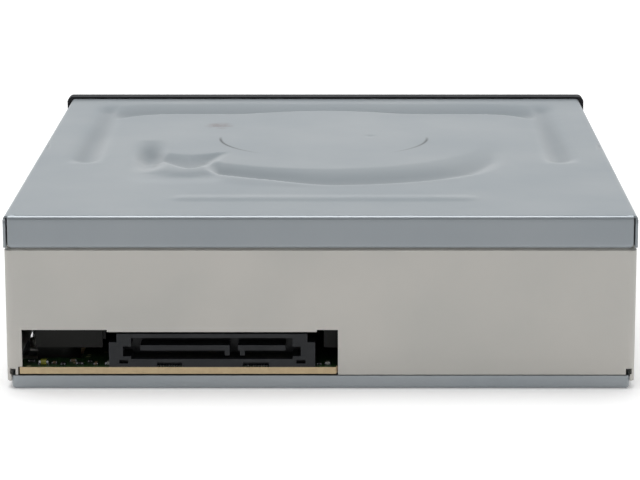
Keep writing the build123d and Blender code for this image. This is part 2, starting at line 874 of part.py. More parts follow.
# Cover screws stand in dimples, under the posts of the loader
dimple_places = [(side * cover_screw_x, y) for side in (-1, 1) for y in cover_screw_ys]
with BuildPart() as bottom_cover:
    with BuildSketch():
        with Locations((0, base_front_y)):
            Rectangle(2 * base_half_width, rear_y - base_front_y, align=(Align.CENTER, Align.MIN))
    extrude(amount=base_lip_height)
    fillet(bottom_cover.edges().filter_by(Axis.Z), bend_radius)
    fillet(bottom_cover.edges().group_by(Axis.Z)[0], bend_radius * base_fold_share)
    offset(amount=-base_sheet, openings=bottom_cover.faces().sort_by(Axis.Z)[-1])
    for dimple_x, dimple_y in dimple_places:
        with Locations((dimple_x, dimple_y, base_sheet)):
            Cone(dimple_radius + base_sheet, dimple_radius + base_sheet - dimple_slope, dimple_rise,
                 align=(Align.CENTER, Align.CENTER, Align.MIN))
        with Locations((dimple_x, dimple_y, 0)):
            Cone(dimple_radius, dimple_radius - dimple_slope, dimple_rise,
                 align=(Align.CENTER, Align.CENTER, Align.MIN), mode=Mode.SUBTRACT)
            Cylinder(m3_hole_radius, 3 * base_lip_height, mode=Mode.SUBTRACT)
    for side in (-1, 1):
        outward = Align.MIN if side > 0 else Align.MAX
        for hole_y in bay_hole_ys:
            with Locations((side * (bay_tab_inner_x - tab_gap), hole_y, 0)):
                Box(body_width, bay_tab_length + 2 * tab_gap, 4 * base_lip_height,
                    align=(outward, Align.CENTER, Align.CENTER), mode=Mode.SUBTRACT)
        for ear_y in cover_screw_ys:
            with Locations((side * (base_half_width - 2 * base_sheet), ear_y, base_lip_height)):
                Box(4 * base_sheet, ear_length + 2 * tab_gap,
                    2 * (base_lip_height - ear_bottom_z + ear_cover_gap),
                    align=(outward, Align.CENTER, Align.CENTER), mode=Mode.SUBTRACT)
bottom_cover.part.label = "bottom_cover"
export_step(bottom_cover.part, "parts/bottom_cover.step")

# The four screws that hold cover, chassis ears and loader frame together
ear_top_z = ear_bottom_z + chassis_sheet
cover_screw = pan_screw(m3_head_radius, m3_head_height, m3_radius, cover_screw_length)
cover_screw_planes = [Plane((x, y, dimple_rise), x_dir=(1, 0, 0), z_dir=(0, 0, -1)) for x, y in dimple_places]
cover_screws = screw_group(cover_screw, cover_screw_planes)
cover_screws.label = "cover_screws"
export_step(cover_screws, "parts/cover_screws.step")

# Front panel: a thin-walled cap with openings for the door, the button, the lamp and the release pin
bezel_height = body_height + bezel_top_lap
door_mid_z = (door_bottom_z + door_top_z) / 2
with BuildPart() as bezel:
    with BuildSketch(Plane.XZ.offset(-front_y)):
        with Locations((0, 0)):
            Rectangle(body_width + 2 * bezel_side_lap, bezel_height, align=(Align.CENTER, Align.MIN))
    extrude(amount=-bezel_depth)
    fillet(bezel.edges().filter_by(Axis.Y), bezel_corner_radius)
    chamfer(bezel.faces().sort_by(Axis.Y)[0].edges(), bezel_edge_chamfer)
    with BuildSketch(Plane.XZ.offset(-bezel_back_y)):
        with Locations((0, bezel_wall)):
            Rectangle(body_width + 2 * (bezel_side_lap - bezel_wall), bezel_height - 2 * bezel_wall,
                      align=(Align.CENTER, Align.MIN))
    extrude(amount=bezel_depth - bezel_wall, mode=Mode.SUBTRACT)
    with BuildSketch(Plane.XZ.offset(-front_y)):
        with Locations((0, door_mid_z)):
            Rectangle(2 * (door_half_width + door_gap), door_top_z - door_bottom_z + 2 * door_gap)
        with Locations((button_x, button_z)):
            RectangleRounded(button_width + 2 * button_gap, button_height + 2 * button_gap,
                             button_corner_radius + button_gap)
        with Locations((lamp_x, button_z)):
            Circle(lamp_radius + lamp_hole_gap)
        with Locations((release_hole_x, button_z)):
            Circle(release_hole_radius)
    extrude(amount=-bezel_depth, mode=Mode.SUBTRACT)
    # Rim that stiffens the door opening from behind
    with BuildSketch(Plane.XZ.offset(-front_y - bezel_wall)):
        with Locations((0, door_mid_z)):
            Rectangle(2 * (door_half_width + door_gap + bezel_rim),
                      door_top_z - door_bottom_z + 2 * (door_gap + bezel_rim))
            Rectangle(2 * (door_half_width + door_gap), door_top_z - door_bottom_z + 2 * door_gap,
                      mode=Mode.SUBTRACT)
    extrude(amount=-bezel_rim_depth)
    # Snap arms that reach between the chassis walls, each with a barb for its window
    snap_root_y, snap_end_y = front_y + bezel_wall / 2, bezel_back_y + snap_length
    barb_front_y, barb_rear_y = snap_window_y - snap_barb_half_length, snap_window_y + snap_barb_half_length
    for side in (-1, 1):
        for snap_z in snap_zs:
            with BuildSketch(Plane.XY.offset(snap_z - snap_width / 2)):
                with BuildLine():
                    outer_x = side * (chassis_inner_x - snap_side_gap)
                    inner_x = side * (chassis_inner_x - snap_side_gap - snap_thickness)
                    barb_x = side * (half_width - snap_barb_inset)
                    Polyline((inner_x, snap_root_y), (outer_x, snap_root_y), (outer_x, barb_front_y),
                             (barb_x, barb_front_y), (outer_x, barb_rear_y),
                             (outer_x, snap_end_y), (inner_x, snap_end_y), close=True)
                make_face()
            extrude(amount=snap_width)
bezel.part.label = "bezel"
export_step(bezel.part, "parts/bezel.step")

# Door of the tray: a plain front with a turned-back rim and a shallow finger lip along its lower edge
with BuildPart() as tray_door:
    with BuildSketch(Plane.XZ.offset(-front_y)):
        with Locations((0, door_bottom_z)):
            Rectangle(2 * door_half_width, door_top_z - door_bottom_z, align=(Align.CENTER, Align.MIN))
    extrude(amount=-door_depth)
    fillet(tray_door.edges().filter_by(Axis.Y), door_corner_radius)
    chamfer(tray_door.faces().sort_by(Axis.Y)[0].edges(), bezel_edge_chamfer)
    with BuildSketch(Plane.XZ.offset(-front_y - door_depth)):
        with Locations((0, door_bottom_z + door_wall)):
            Rectangle(2 * (door_half_width - door_wall), door_top_z - door_bottom_z - 2 * door_wall,
                      align=(Align.CENTER, Align.MIN))
    extrude(amount=door_depth - door_wall, mode=Mode.SUBTRACT)
tray_door.part.label = "tray_door"
export_step(tray_door.part, "parts/tray_door.step")

# Eject button with its collar behind the panel and a stem to the switch
with BuildPart() as eject_button:
    with BuildSketch(Plane.XZ.offset(-front_y + button_proud)):
        with Locations((button_x, button_z)):
            RectangleRounded(button_width, button_height, button_corner_radius)
    extrude(amount=-(button_proud + bezel_wall + button_travel + button_root))
    fillet(eject_button.faces().sort_by(Axis.Y)[0].edges(), button_edge_radius)
    with BuildSketch(Plane.XZ.offset(-front_y - bezel_wall - button_collar_gap)):
        with Locations((button_x, button_z)):
            Rectangle(button_width + 2 * button_collar_margin, button_height + 2 * button_collar_margin)
    extrude(amount=-button_collar_thickness)
    stem_front_y = front_y + bezel_wall + button_collar_gap + button_collar_thickness
    with Locations((button_x, stem_front_y, button_z)):
        Box(button_stem_width, button_stem_rear_y - stem_front_y, button_stem_width,
            align=(Align.CENTER, Align.MIN, Align.CENTER))
eject_button.part.label = "eject_button"
export_step(eject_button.part, "parts/eject_button.step")

# Clear light guide pressed into the panel
with BuildPart() as lamp_guide:
    with BuildSketch(Plane.XZ.offset(-front_y + lamp_proud)):
        with Locations((lamp_x, button_z)):
            Circle(lamp_radius)
    extrude(amount=-(lamp_proud + bezel_wall + lamp_root))
    fillet(lamp_guide.faces().sort_by(Axis.Y)[0].edges(), lamp_edge_radius)
    with BuildSketch(Plane.XZ.offset(-front_y - bezel_wall)):
        with Locations((lamp_x, button_z)):
            Circle(lamp_radius + lamp_flange)
    extrude(amount=-lamp_guide_length)
lamp_guide.part.label = "lamp_guide"
export_step(lamp_guide.part, "parts/lamp_guide.step")

# Switch board hangs from the loader deck behind the panel
with BuildPart() as switch_board:
    with Locations((switch_board_x, switch_board_y, switch_board_bottom_z)):
        Box(switch_board_width, switch_board_thickness, switch_board_top_z - switch_board_bottom_z,
            align=(Align.CENTER, Align.CENTER, Align.MIN))
switch_board.part.label = "switch_board"
export_step(switch_board.part, "parts/switch_board.step")

with BuildPart() as eject_switch:
    with Locations((button_x, switch_front_y, button_z)):
        Box(switch_body_width, switch_body_depth, switch_body_width,
            align=(Align.CENTER, Align.MAX, Align.CENTER))
    with BuildSketch(Plane.XZ.offset(-(switch_front_y - switch_body_depth))):
        with Locations((button_x, button_z)):
            Circle(switch_plunger_radius)
    extrude(amount=switch_plunger_length)
eject_switch.part.label = "eject_switch"
export_step(eject_switch.part, "parts/eject_switch.step")

with BuildPart() as status_led:
    with Locations((lamp_x, switch_front_y, button_z)):
        Box(led_width, led_depth, led_height, align=(Align.CENTER, Align.MAX, Align.CENTER))
status_led.part.label = "status_led"
export_step(status_led.part, "parts/status_led.step")

socket_mid_x = (socket_left_x + socket_right_x) / 2
socket_width = socket_left_x - socket_right_x

# Loader frame: moulded carrier of tray, gears and lift, standing on four screw posts
loader_inner_x = loader_half_width - loader_wall
with BuildPart() as loader_frame:
    for side in (-1, 1):
        align_x = Align.MAX if side > 0 else Align.MIN
        with Locations((side * loader_half_width, loader_front_y, loader_wall_bottom_z)):
            Box(loader_wall, loader_rear_y - loader_front_y, loader_wall_top_z - loader_wall_bottom_z,
                align=(align_x, Align.MIN, Align.MIN))
        # Rail under the edge of the tray, and short tabs above it that hold it down
        with Locations((side * loader_inner_x, loader_front_y, tray_skirt_bottom_z - tray_running_gap)):
            Box(rail_width, loader_rear_y - loader_front_y, rail_thickness,
                align=(align_x, Align.MIN, Align.MAX))
        with Locations([(side * loader_inner_x, y, tray_top_z + tray_running_gap) for y in hold_down_ys]):
            Box(rail_width, hold_down_length, rail_thickness, align=(align_x, Align.CENTER, Align.MIN))
        # Legs between each post and the side wall
        for post_y in cover_screw_ys:
            with Locations((side * loader_half_width, post_y, ear_top_z)):
                Box(loader_half_width - cover_screw_x, 2 * post_radius, deck_bottom_z - ear_top_z,
                    align=(align_x, Align.CENTER, Align.MIN))
        # Latches of the clamp bridge, sloped above and square below
        for latch_y in [disc_y + dy for dy in bridge_latch_dys]:
            with BuildSketch(Plane.XZ.offset(-(latch_y - bridge_window_length / 2 + bridge_flange_gap))):
                with BuildLine():
                    Polyline((side * loader_inner_x, latch_bottom_z),
                             (side * (loader_half_width + bridge_flange_gap + bridge_sheet), latch_bottom_z),
                             (side * loader_half_width, latch_bottom_z + latch_height),
                             (side * loader_inner_x, latch_bottom_z + latch_height), close=True)
                make_face()
            extrude(amount=-(bridge_window_length - 2 * bridge_flange_gap))
    # Deck in front for the gears, and a beam across the rear
    with Locations((0, loader_front_y, deck_bottom_z)):
        Box(2 * loader_half_width, deck_rear_y - loader_front_y, deck_thickness,
            align=(Align.CENTER, Align.MIN, Align.MIN))
    with Locations((0, loader_front_y, deck_bottom_z)):
        Box(2 * loader_half_width, loader_wall, front_wall_top_z - deck_bottom_z,
            align=(Align.CENTER, Align.MIN, Align.MIN))
    with Locations((0, loader_rear_y, loader_wall_bottom_z)):
        Box(2 * loader_half_width, loader_wall, rear_beam_top_z - loader_wall_bottom_z,
            align=(Align.CENTER, Align.MAX, Align.MIN))
    with Locations((0, loader_rear_y, deck_bottom_z)):
        Box(2 * loader_half_width, rear_beam_depth, deck_thickness,
            align=(Align.CENTER, Align.MAX, Align.MIN))
    # The beam is cut away over the rear socket
    with Locations((socket_mid_x, loader_rear_y, loader_wall_bottom_z)):
        Box(socket_width + 2 * socket_cutout_margin, 4 * loader_wall,
            board_top_z + socket_height + socket_cutout_gap - loader_wall_bottom_z,
            align=(Align.CENTER, Align.CENTER, Align.MIN), mode=Mode.SUBTRACT)
    with BuildSketch(Plane.XY.offset(ear_top_z)):
        with Locations(dimple_places):
            Circle(post_radius)
    extrude(amount=deck_top_z - ear_top_z)
    with BuildSketch(Plane.XY.offset(ear_top_z)):
        with Locations(dimple_places):
            Circle(m3_pilot_radius)
    extrude(amount=cover_screw_length, mode=Mode.SUBTRACT)
    # Bosses that the board is screwed to, on brackets from the side walls and the rear beam
    for boss_x, boss_y in board_screw_places:
        with BuildSketch(Plane.XY.offset(board_top_z)):
            with Locations((boss_x, boss_y)):
                Circle(board_boss_radius)
        extrude(amount=board_bracket_z + loader_wall - board_top_z)
    for boss_x, boss_y in board_screw_places[:2]:
        side = 1 if boss_x > 0 else -1
        with Locations((side * loader_half_width, boss_y, board_bracket_z)):
            Box(loader_half_width - abs(boss_x), 2 * board_boss_radius, loader_wall,
                align=(Align.MAX if side > 0 else Align.MIN, Align.CENTER, Align.MIN))
    rear_boss_x, rear_boss_y = board_screw_places[2]
    with Locations((rear_boss_x, loader_rear_y, board_bracket_z)):
        Box(2 * board_boss_radius, loader_rear_y - rear_boss_y, loader_wall,
            align=(Align.CENTER, Align.MAX, Align.MIN))
    for boss_x, boss_y in board_screw_places:
        with Locations((boss_x, boss_y, board_top_z)):
            Cylinder(m2_pilot_radius, board_screw_length, align=(Align.CENTER, Align.CENTER, Align.MIN),
                     mode=Mode.SUBTRACT)
    # Lugs with the bearing holes of the lift
    for side in (-1, 1):
        with BuildSketch(Plane.YZ.offset(side * lug_inner_x)):
            with BuildLine():
                Polyline((pivot_y - lug_radius, pivot_z), (pivot_y - lug_radius, lug_bottom_z),
                         (loader_rear_y - loader_wall / 2, lug_bottom_z),
                         (loader_rear_y - loader_wall / 2, pivot_z + lug_radius),
                         (pivot_y, pivot_z + lug_radius))
                RadiusArc((pivot_y, pivot_z + lug_radius), (pivot_y - lug_radius, pivot_z), -lug_radius)
            make_face()
            with Locations((pivot_y, pivot_z)):
                Circle(pivot_radius + pivot_clearance, mode=Mode.SUBTRACT)
        extrude(amount=side * lug_thickness)
    # Axles of the two gears
    for axle_x in (drive_gear_x, pulley_gear_x):
        with BuildSketch(Plane.XY.offset(deck_top_z)):
            with Locations((axle_x, gear_y)):
                Circle(gear_axle_radius + gear_axle_foot_wall)
        extrude(amount=gear_foot_height)
        with BuildSketch(Plane.XY.offset(deck_top_z)):
            with Locations((axle_x, gear_y)):
                Circle(gear_axle_radius)
        axle_top_z = pinion_top_z if axle_x == drive_gear_x else wheel_bottom_z + wheel_height
        extrude(amount=axle_top_z + gear_axle_end - deck_top_z)
    # Seat of the loading motor and the hooks that the cam slider runs in
    with Locations((motor_x, motor_y, deck_bottom_z)):
        Cylinder(motor_boss_radius + motor_boss_gap, 3 * deck_thickness, mode=Mode.SUBTRACT)
    hook_front_y = cam_foot_front_y - cam_hook_gap - cam_hook_width
    hook_bottom_z = cam_foot_bottom_z - cam_hook_gap - cam_hook_thickness
    for hook_x in cam_hook_xs:
        with Locations((hook_x, hook_front_y, hook_bottom_z)):
            Box(cam_hook_length, cam_hook_width, deck_bottom_z - hook_bottom_z,
                align=(Align.CENTER, Align.MIN, Align.MIN))
            Box(cam_hook_length, cam_hook_width + cam_hook_gap + cam_hook_lip, cam_hook_thickness,
                align=(Align.CENTER, Align.MIN, Align.MIN))
    # Guides for the switch board
    guide_spread = switch_board_width / 2 - switch_guide_inset
    for guide_x in (switch_board_x - guide_spread, switch_board_x + guide_spread):
        with Locations((guide_x, switch_board_y, deck_bottom_z)):
            Box(switch_guide_length, switch_board_thickness + 2 * switch_guide_wall, switch_guide_height,
                align=(Align.CENTER, Align.CENTER, Align.MAX))
            Box(switch_guide_length + switch_guide_overrun, switch_board_thickness + 2 * switch_guide_gap,
                2 * switch_guide_height, mode=Mode.SUBTRACT)
loader_frame.part.label = "loader_frame"
export_step(loader_frame.part, "parts/loader_frame.step")

# Tray: dished plate with skirts, a slot for the lift and a rack along its underside
with BuildPart() as disc_tray:
    with BuildSketch(Plane.XY.offset(tray_top_z - tray_wall)) as tray_outline:
        with Locations((0, tray_front_y)):
            Rectangle(2 * tray_half_width, tray_rear_y - tray_front_y, align=(Align.CENTER, Align.MIN))
        fillet(tray_outline.vertices().group_by(Axis.Y)[-1], tray_corner_radius)
    extrude(amount=tray_wall)
    for side in (-1, 1):
        with Locations((side * tray_half_width, tray_front_y, tray_skirt_bottom_z)):
            Box(tray_wall, tray_rear_y - tray_front_y - tray_corner_radius, tray_top_z - tray_skirt_bottom_z,
                align=(Align.MAX if side > 0 else Align.MIN, Align.MIN, Align.MIN))
    with Locations((0, tray_front_y, tray_skirt_bottom_z)):
        Box(2 * tray_half_width, tray_wall, tray_front_rise, align=(Align.CENTER, Align.MIN, Align.MIN))
    # Dishes of the large and the small disc and the finger hollows, pressed through with an even wall
    dishes = [(disc_recess_radius, disc_recess_depth), (small_recess_radius, small_recess_depth)]
    finger_places = [(side * finger_x, disc_y - finger_dy) for side in (-1, 1)]
    with BuildSketch(Plane.XY.offset(tray_top_z - disc_recess_depth - tray_wall)):
        with Locations((0, disc_y)):
            Circle(disc_recess_radius + tray_wall)
        with Locations(finger_places):
            Circle(finger_radius + tray_wall)
        with Locations((0, tray_front_y)):
            Rectangle(2 * tray_half_width, body_depth, align=(Align.CENTER, Align.MIN), mode=Mode.INTERSECT)
    extrude(amount=disc_recess_depth)
    with BuildSketch(Plane.XY.offset(tray_top_z - small_recess_depth - tray_wall)):
        with Locations((0, disc_y)):
            Circle(small_recess_radius + tray_wall)
    extrude(amount=small_recess_depth)
    # Rack: a bar with straight-sided teeth facing the drive pinion
    tooth_pitch = pi * rack_module
    half_space = (tooth_pitch / 2 + tooth_backlash) / 2
    tip_reach = tooth_addendum * rack_module
    root_reach = tooth_dedendum * rack_module
    rack_back_x = rack_pitch_x - root_reach - rack_back_width
    mouth_half = half_space + 2 * tip_reach * tan(pressure_angle)
    root_half = half_space - root_reach * tan(pressure_angle)
    first_space = int((rack_front_y - gear_y) / tooth_pitch)
    space_ys = [gear_y + (first_space + step) * tooth_pitch for step in range(int(rack_length / tooth_pitch))]
    with BuildSketch(Plane.XY.offset(rack_bottom_z)):
        with Locations((rack_back_x, rack_front_y)):
            Rectangle(rack_pitch_x + tip_reach - rack_back_x, rack_length, align=(Align.MIN, Align.MIN))
        for space_y in space_ys:
            with BuildLine():
                Polyline((rack_pitch_x + 2 * tip_reach, space_y - mouth_half),
                         (rack_pitch_x + 2 * tip_reach, space_y + mouth_half),
                         (rack_pitch_x - root_reach, space_y + root_half),
                         (rack_pitch_x - root_reach, space_y - root_half), close=True)
            make_face(mode=Mode.SUBTRACT)
    extrude(amount=tray_top_z - tray_wall / 2 - rack_bottom_z)
    for dish_radius, dish_depth in dishes:
        with Locations((0, disc_y, tray_top_z)):
            Cylinder(dish_radius, dish_depth, align=(Align.CENTER, Align.CENTER, Align.MAX),
                     mode=Mode.SUBTRACT)
    with BuildSketch(Plane.XY.offset(tray_top_z)):
        with Locations(finger_places):
            Circle(finger_radius)
        with Locations((0, disc_y)):
            Rectangle(2 * (tray_half_width - tray_wall), 2 * body_depth, mode=Mode.INTERSECT)
    extrude(amount=-disc_recess_depth, mode=Mode.SUBTRACT)
    # Slot that the disc motor and the pickup rise through
    with BuildSketch(Plane.XY.offset(tray_skirt_bottom_z - tray_wall)):
        with Locations((0, disc_y)):
            Circle(tray_slot_half_width)
            Rectangle(2 * tray_slot_half_width, tray_slot_rear_y - disc_y, align=(Align.CENTER, Align.MIN))
        with Locations((0, tray_tail_gap_front_y)):
            Rectangle(2 * tray_tail_gap_half_width, body_depth, align=(Align.CENTER, Align.MIN))
    extrude(amount=tray_top_z, mode=Mode.SUBTRACT)
disc_tray.part.label = "disc_tray"
export_step(disc_tray.part, "parts/disc_tray.step")

# Loading motor under the deck; its shaft carries the small pulley
with BuildPart() as loading_motor:
    with Locations((motor_x, motor_y, deck_bottom_z)):
        Cylinder(motor_radius, motor_height, align=(Align.CENTER, Align.CENTER, Align.MAX))
    fillet(loading_motor.edges().filter_by(GeomType.CIRCLE), motor_edge_radius)
    with Locations((motor_x, motor_y, deck_bottom_z)):
        Cylinder(motor_boss_radius, motor_boss_height, align=(Align.CENTER, Align.CENTER, Align.MIN))
        Cylinder(motor_shaft_radius + motor_shaft_gap, 2 * (motor_height - motor_cap), mode=Mode.SUBTRACT)
loading_motor.part.label = "loading_motor"
export_step(loading_motor.part, "parts/loading_motor.step")

motor_shaft_bottom_z = deck_bottom_z - motor_height + motor_shaft_foot
motor_shaft_top_z = pulley_bottom_z + pulley_height + motor_shaft_end
with BuildPart() as motor_shaft:
    with Locations((motor_x, motor_y, motor_shaft_bottom_z)):
        Cylinder(motor_shaft_radius, motor_shaft_top_z - motor_shaft_bottom_z,
                 align=(Align.CENTER, Align.CENTER, Align.MIN))
motor_shaft.part.label = "motor_shaft"
export_step(motor_shaft.part, "parts/motor_shaft.step")


# Grooved pulley profile, revolved about its own axis
def pulley_solid(x, y, radius, bore):
    middle_z = pulley_bottom_z + pulley_height / 2
    groove_half = belt_thickness / 2 + pulley_groove_gap
    flare_half = belt_thickness / 2 + pulley_groove_flare
    groove_x, rim_x = x + radius - pulley_groove, x + radius
    flare_x = rim_x + pulley_groove_overrun
    with BuildPart() as pulley:
        with Locations((x, y, pulley_bottom_z)):
            Cylinder(radius, pulley_height, align=(Align.CENTER, Align.CENTER, Align.MIN))
        with BuildSketch(Plane.XZ.offset(-y)):
            with BuildLine():
                Polyline((groove_x, middle_z - groove_half), (groove_x, middle_z + groove_half),
                         (rim_x, middle_z + flare_half), (flare_x, middle_z + flare_half),
                         (flare_x, middle_z - flare_half), (rim_x, middle_z - flare_half), close=True)
            make_face()
        revolve(axis=Axis((x, y, 0), (0, 0, 1)), mode=Mode.SUBTRACT)
        with Locations((x, y, pulley_bottom_z)):
            Cylinder(bore, 3 * pulley_height, mode=Mode.SUBTRACT)
    return pulley.part


motor_pulley = pulley_solid(motor_x, motor_y, motor_pulley_radius, motor_shaft_radius + motor_shaft_press)
motor_pulley.label = "motor_pulley"
export_step(motor_pulley, "parts/motor_pulley.step")


# Belt loop: the hull of the two pulley circles, hollowed by the hull of slightly smaller ones
def belt_hull(margin):
    with BuildSketch() as hull:
        with Locations((motor_x, motor_y)):
            Circle(motor_pulley_radius - pulley_groove + belt_gap + margin)
        with Locations((pulley_gear_x, gear_y)):
            Circle(pulley_radius - pulley_groove + belt_gap + margin)
        make_hull()
    return hull.sketch


with BuildPart() as drive_belt:
    with BuildSketch(Plane.XY.offset(pulley_bottom_z + (pulley_height - belt_thickness) / 2)):
        add(belt_hull(belt_thickness))
        add(belt_hull(0), mode=Mode.SUBTRACT)
    extrude(amount=belt_thickness)
drive_belt.part.label = "drive_belt"
export_step(drive_belt.part, "parts/drive_belt.step")

# Pulley with the small pinion on one sleeve
with BuildPart() as pulley_gear:
    add(pulley_solid(pulley_gear_x, gear_y, pulley_radius, gear_bore_radius))
    with Locations((pulley_gear_x, gear_y, pulley_bottom_z + pulley_height)):
        Cylinder(gear_bore_radius + pulley_sleeve_wall, wheel_bottom_z - pulley_bottom_z - pulley_height,
                 align=(Align.CENTER, Align.CENTER, Align.MIN))
    with BuildSketch(Plane.XY.offset(wheel_bottom_z)):
        with BuildLine(Location((pulley_gear_x, gear_y))):
            Polyline(gear_points(wheel_module, pulley_pinion_teeth, pi + pi / pulley_pinion_teeth),
                     close=True)
        make_face()
    extrude(amount=wheel_height)
    with Locations((pulley_gear_x, gear_y, 0)):
        Cylinder(gear_bore_radius, 2 * body_height, mode=Mode.SUBTRACT)
pulley_gear.part.label = "pulley_gear"
export_step(pulley_gear.part, "parts/pulley_gear.step")

# Two-step gear: the wheel takes the small pinion, the pinion above it drives the rack
drive_sleeve_bottom_z = deck_top_z + gear_foot_height + drive_sleeve_gap
with BuildPart() as drive_gear:
    with Locations((drive_gear_x, gear_y, drive_sleeve_bottom_z)):
        Cylinder(gear_bore_radius + drive_sleeve_wall, wheel_bottom_z - drive_sleeve_bottom_z,
                 align=(Align.CENTER, Align.CENTER, Align.MIN))
    with BuildSketch(Plane.XY.offset(wheel_bottom_z)):
        with BuildLine(Location((drive_gear_x, gear_y))):
            Polyline(gear_points(wheel_module, wheel_teeth, 0), close=True)
        make_face()
    extrude(amount=wheel_height)
    with BuildSketch(Plane.XY.offset(wheel_bottom_z + wheel_height)):
        with BuildLine(Location((drive_gear_x, gear_y))):
            Polyline(gear_points(rack_module, rack_pinion_teeth, pi), close=True)
        make_face()
    extrude(amount=pinion_top_z - wheel_bottom_z - wheel_height)
    with Locations((drive_gear_x, gear_y, 0)):
        Cylinder(gear_bore_radius, 2 * body_height, mode=Mode.SUBTRACT)
drive_gear.part.label = "drive_gear"
export_step(drive_gear.part, "parts/drive_gear.step")

# Cam slider: an upright plate with one sloped slot for each pin of the lift, and a foot in the loader's hooks
cam_mid_y = cam_plate_front_y + cam_plate_thickness / 2
pin_rise = cam_pin_level_z - pivot_z
pin_arm = (pivot_y - cam_mid_y - pin_rise * sin(radians(lift_angle))) / cos(radians(lift_angle))
cam_low_z = pivot_z + pin_rise * cos(radians(lift_angle)) - pin_arm * sin(radians(lift_angle))
cam_rise = cam_pin_level_z - cam_low_z
cam_notch_radius = cam_pin_radius + cam_slot_gap
cam_notch_from = cam_travel * (cam_foot_bottom_z - cam_notch_radius - cam_low_z) / cam_rise
cam_notch_to = cam_travel * (cam_foot_bottom_z + cam_foot_thickness + cam_notch_radius - cam_low_z) / cam_rise
cam_left_x = cam_pin_xs[0] - cam_travel - cam_pin_radius - cam_end_wall
cam_right_x = cam_pin_xs[-1] + cam_pin_radius + cam_end_wall
with BuildPart() as cam_slider:
    with BuildSketch(Plane.XZ.offset(-cam_plate_front_y)):
        with Locations((cam_left_x, cam_plate_bottom_z)):
            Rectangle(cam_right_x - cam_left_x, cam_plate_top_z - cam_plate_bottom_z,
                      align=(Align.MIN, Align.MIN))
        for pin_x in cam_pin_xs:
            with Locations((pin_x - cam_travel / 2, (cam_low_z + cam_pin_level_z) / 2)):
                SlotCenterToCenter(hypot(cam_travel, cam_rise), 2 * (cam_pin_radius + cam_slot_gap),
                                   rotation=-atan2(cam_rise, cam_travel) * 180 / pi, mode=Mode.SUBTRACT)
    extrude(amount=-cam_plate_thickness)
    with Locations((cam_left_x, cam_plate_front_y, cam_foot_bottom_z)):
        Box(cam_right_x - cam_left_x + cam_foot_overhang, cam_foot_length, cam_foot_thickness,
            align=(Align.MIN, Align.MAX, Align.MIN))
    # The foot makes way for the ends of the pins as they pass it
    for pin_x in cam_pin_xs:
        with Locations((pin_x - cam_notch_to - cam_notch_radius, cam_plate_front_y, cam_foot_bottom_z)):
            Box(cam_notch_to - cam_notch_from + 2 * cam_notch_radius, cam_pin_reach + cam_notch_gap,
                3 * cam_foot_thickness, align=(Align.MIN, Align.MAX, Align.CENTER), mode=Mode.SUBTRACT)
cam_slider.part.label = "cam_slider"
export_step(cam_slider.part, "parts/cam_slider.step")

# Lift frame
lift_inner_x = lift_half_width - lift_bar_width
with BuildPart() as lift_frame:
    with BuildSketch(Plane.XY.offset(lift_bottom_z)):
        with Locations((0, lift_front_y + lift_bar_depth)):
            Rectangle(2 * lift_half_width, lift_rear_y - lift_front_y - lift_bar_depth,
                      align=(Align.CENTER, Align.MIN))
            Rectangle(2 * lift_inner_x, lift_rear_y - lift_front_y - 2 * lift_bar_depth,
                      align=(Align.CENTER, Align.MIN), mode=Mode.SUBTRACT)
    extrude(amount=lift_top_z - lift_bottom_z)
    with Locations((0, lift_front_y, lift_top_z - lift_bar_lap)):
        Box(2 * lift_half_width, lift_bar_depth + lift_bar_foot, lift_front_top_z - lift_top_z + lift_bar_lap,
            align=(Align.CENTER, Align.MIN, Align.MIN))
    fillet(lift_frame.edges().filter_by(Axis.Z).group_by(Axis.Y)[0], lift_corner_radius)
    # Pockets that lighten the side bars
    for side in (-1, 1):
        pocket_x = side * (lift_half_width - lift_bar_width / 2)
        with Locations([(pocket_x, y, lift_top_z) for y in lift_pocket_ys]):
            Box(lift_bar_width - 2 * lift_pocket_margin, lift_pocket_length,
                2 * (lift_top_z - lift_bottom_z - lift_pocket_floor), mode=Mode.SUBTRACT)
    # Pivot bosses with their pins
    for side in (-1, 1):
        with BuildSketch(Plane.YZ.offset(side * lift_inner_x)):
            with Locations((pivot_y, pivot_z)):
                Circle(pivot_radius + pivot_boss_wall)
        extrude(amount=side * lift_bar_width)
        with BuildSketch(Plane.YZ.offset(side * lift_half_width)):
            with Locations((pivot_y, pivot_z)):
                Circle(pivot_radius)
        extrude(amount=side * (lug_inner_x + lug_thickness - lift_half_width))
    # Pins that ride in the cam slots
    with BuildSketch(Plane.XZ.offset(-lift_front_y)):
        with Locations([(x, cam_pin_level_z) for x in cam_pin_xs]):
            Circle(cam_pin_radius)
    extrude(amount=lift_front_y - cam_plate_front_y + cam_pin_reach)
    with Locations([(side * damper_x, y, lift_top_z) for side in (-1, 1) for y in damper_ys]):
        Cylinder(m2_pilot_radius, 2 * (lift_top_z - lift_bottom_z - lift_screw_floor), mode=Mode.SUBTRACT)
lift_frame_low = lowered(lift_frame.part, "lift_frame")
export_step(lift_frame_low, "parts/lift_frame.step")

# Rubber dampers with a neck through the plate, and the screws that hold them
damper_places = [(side * damper_x, y) for side in (-1, 1) for y in damper_ys]
damper_top_z = plate_top_z + damper_flange_height
with BuildPart() as dampers:
    for damper_place in damper_places:
        with BuildSketch(Plane.XY.offset(lift_top_z)):
            with Locations(damper_place):
                Circle(damper_flange_radius)
        extrude(amount=damper_flange_height)
        with BuildSketch(Plane.XY.offset(plate_bottom_z)):
            with Locations(damper_place):
                Circle(damper_neck_radius)
        extrude(amount=plate_sheet)
        with BuildSketch(Plane.XY.offset(plate_top_z)):
            with Locations(damper_place):
                Circle(damper_flange_radius)
        extrude(amount=damper_flange_height)
        with Locations((*damper_place, lift_top_z)):
            Cylinder(m2_hole_radius, 4 * damper_top_z, mode=Mode.SUBTRACT)
dampers_low = lowered(dampers.part, "dampers")
export_step(dampers_low, "parts/dampers.step")

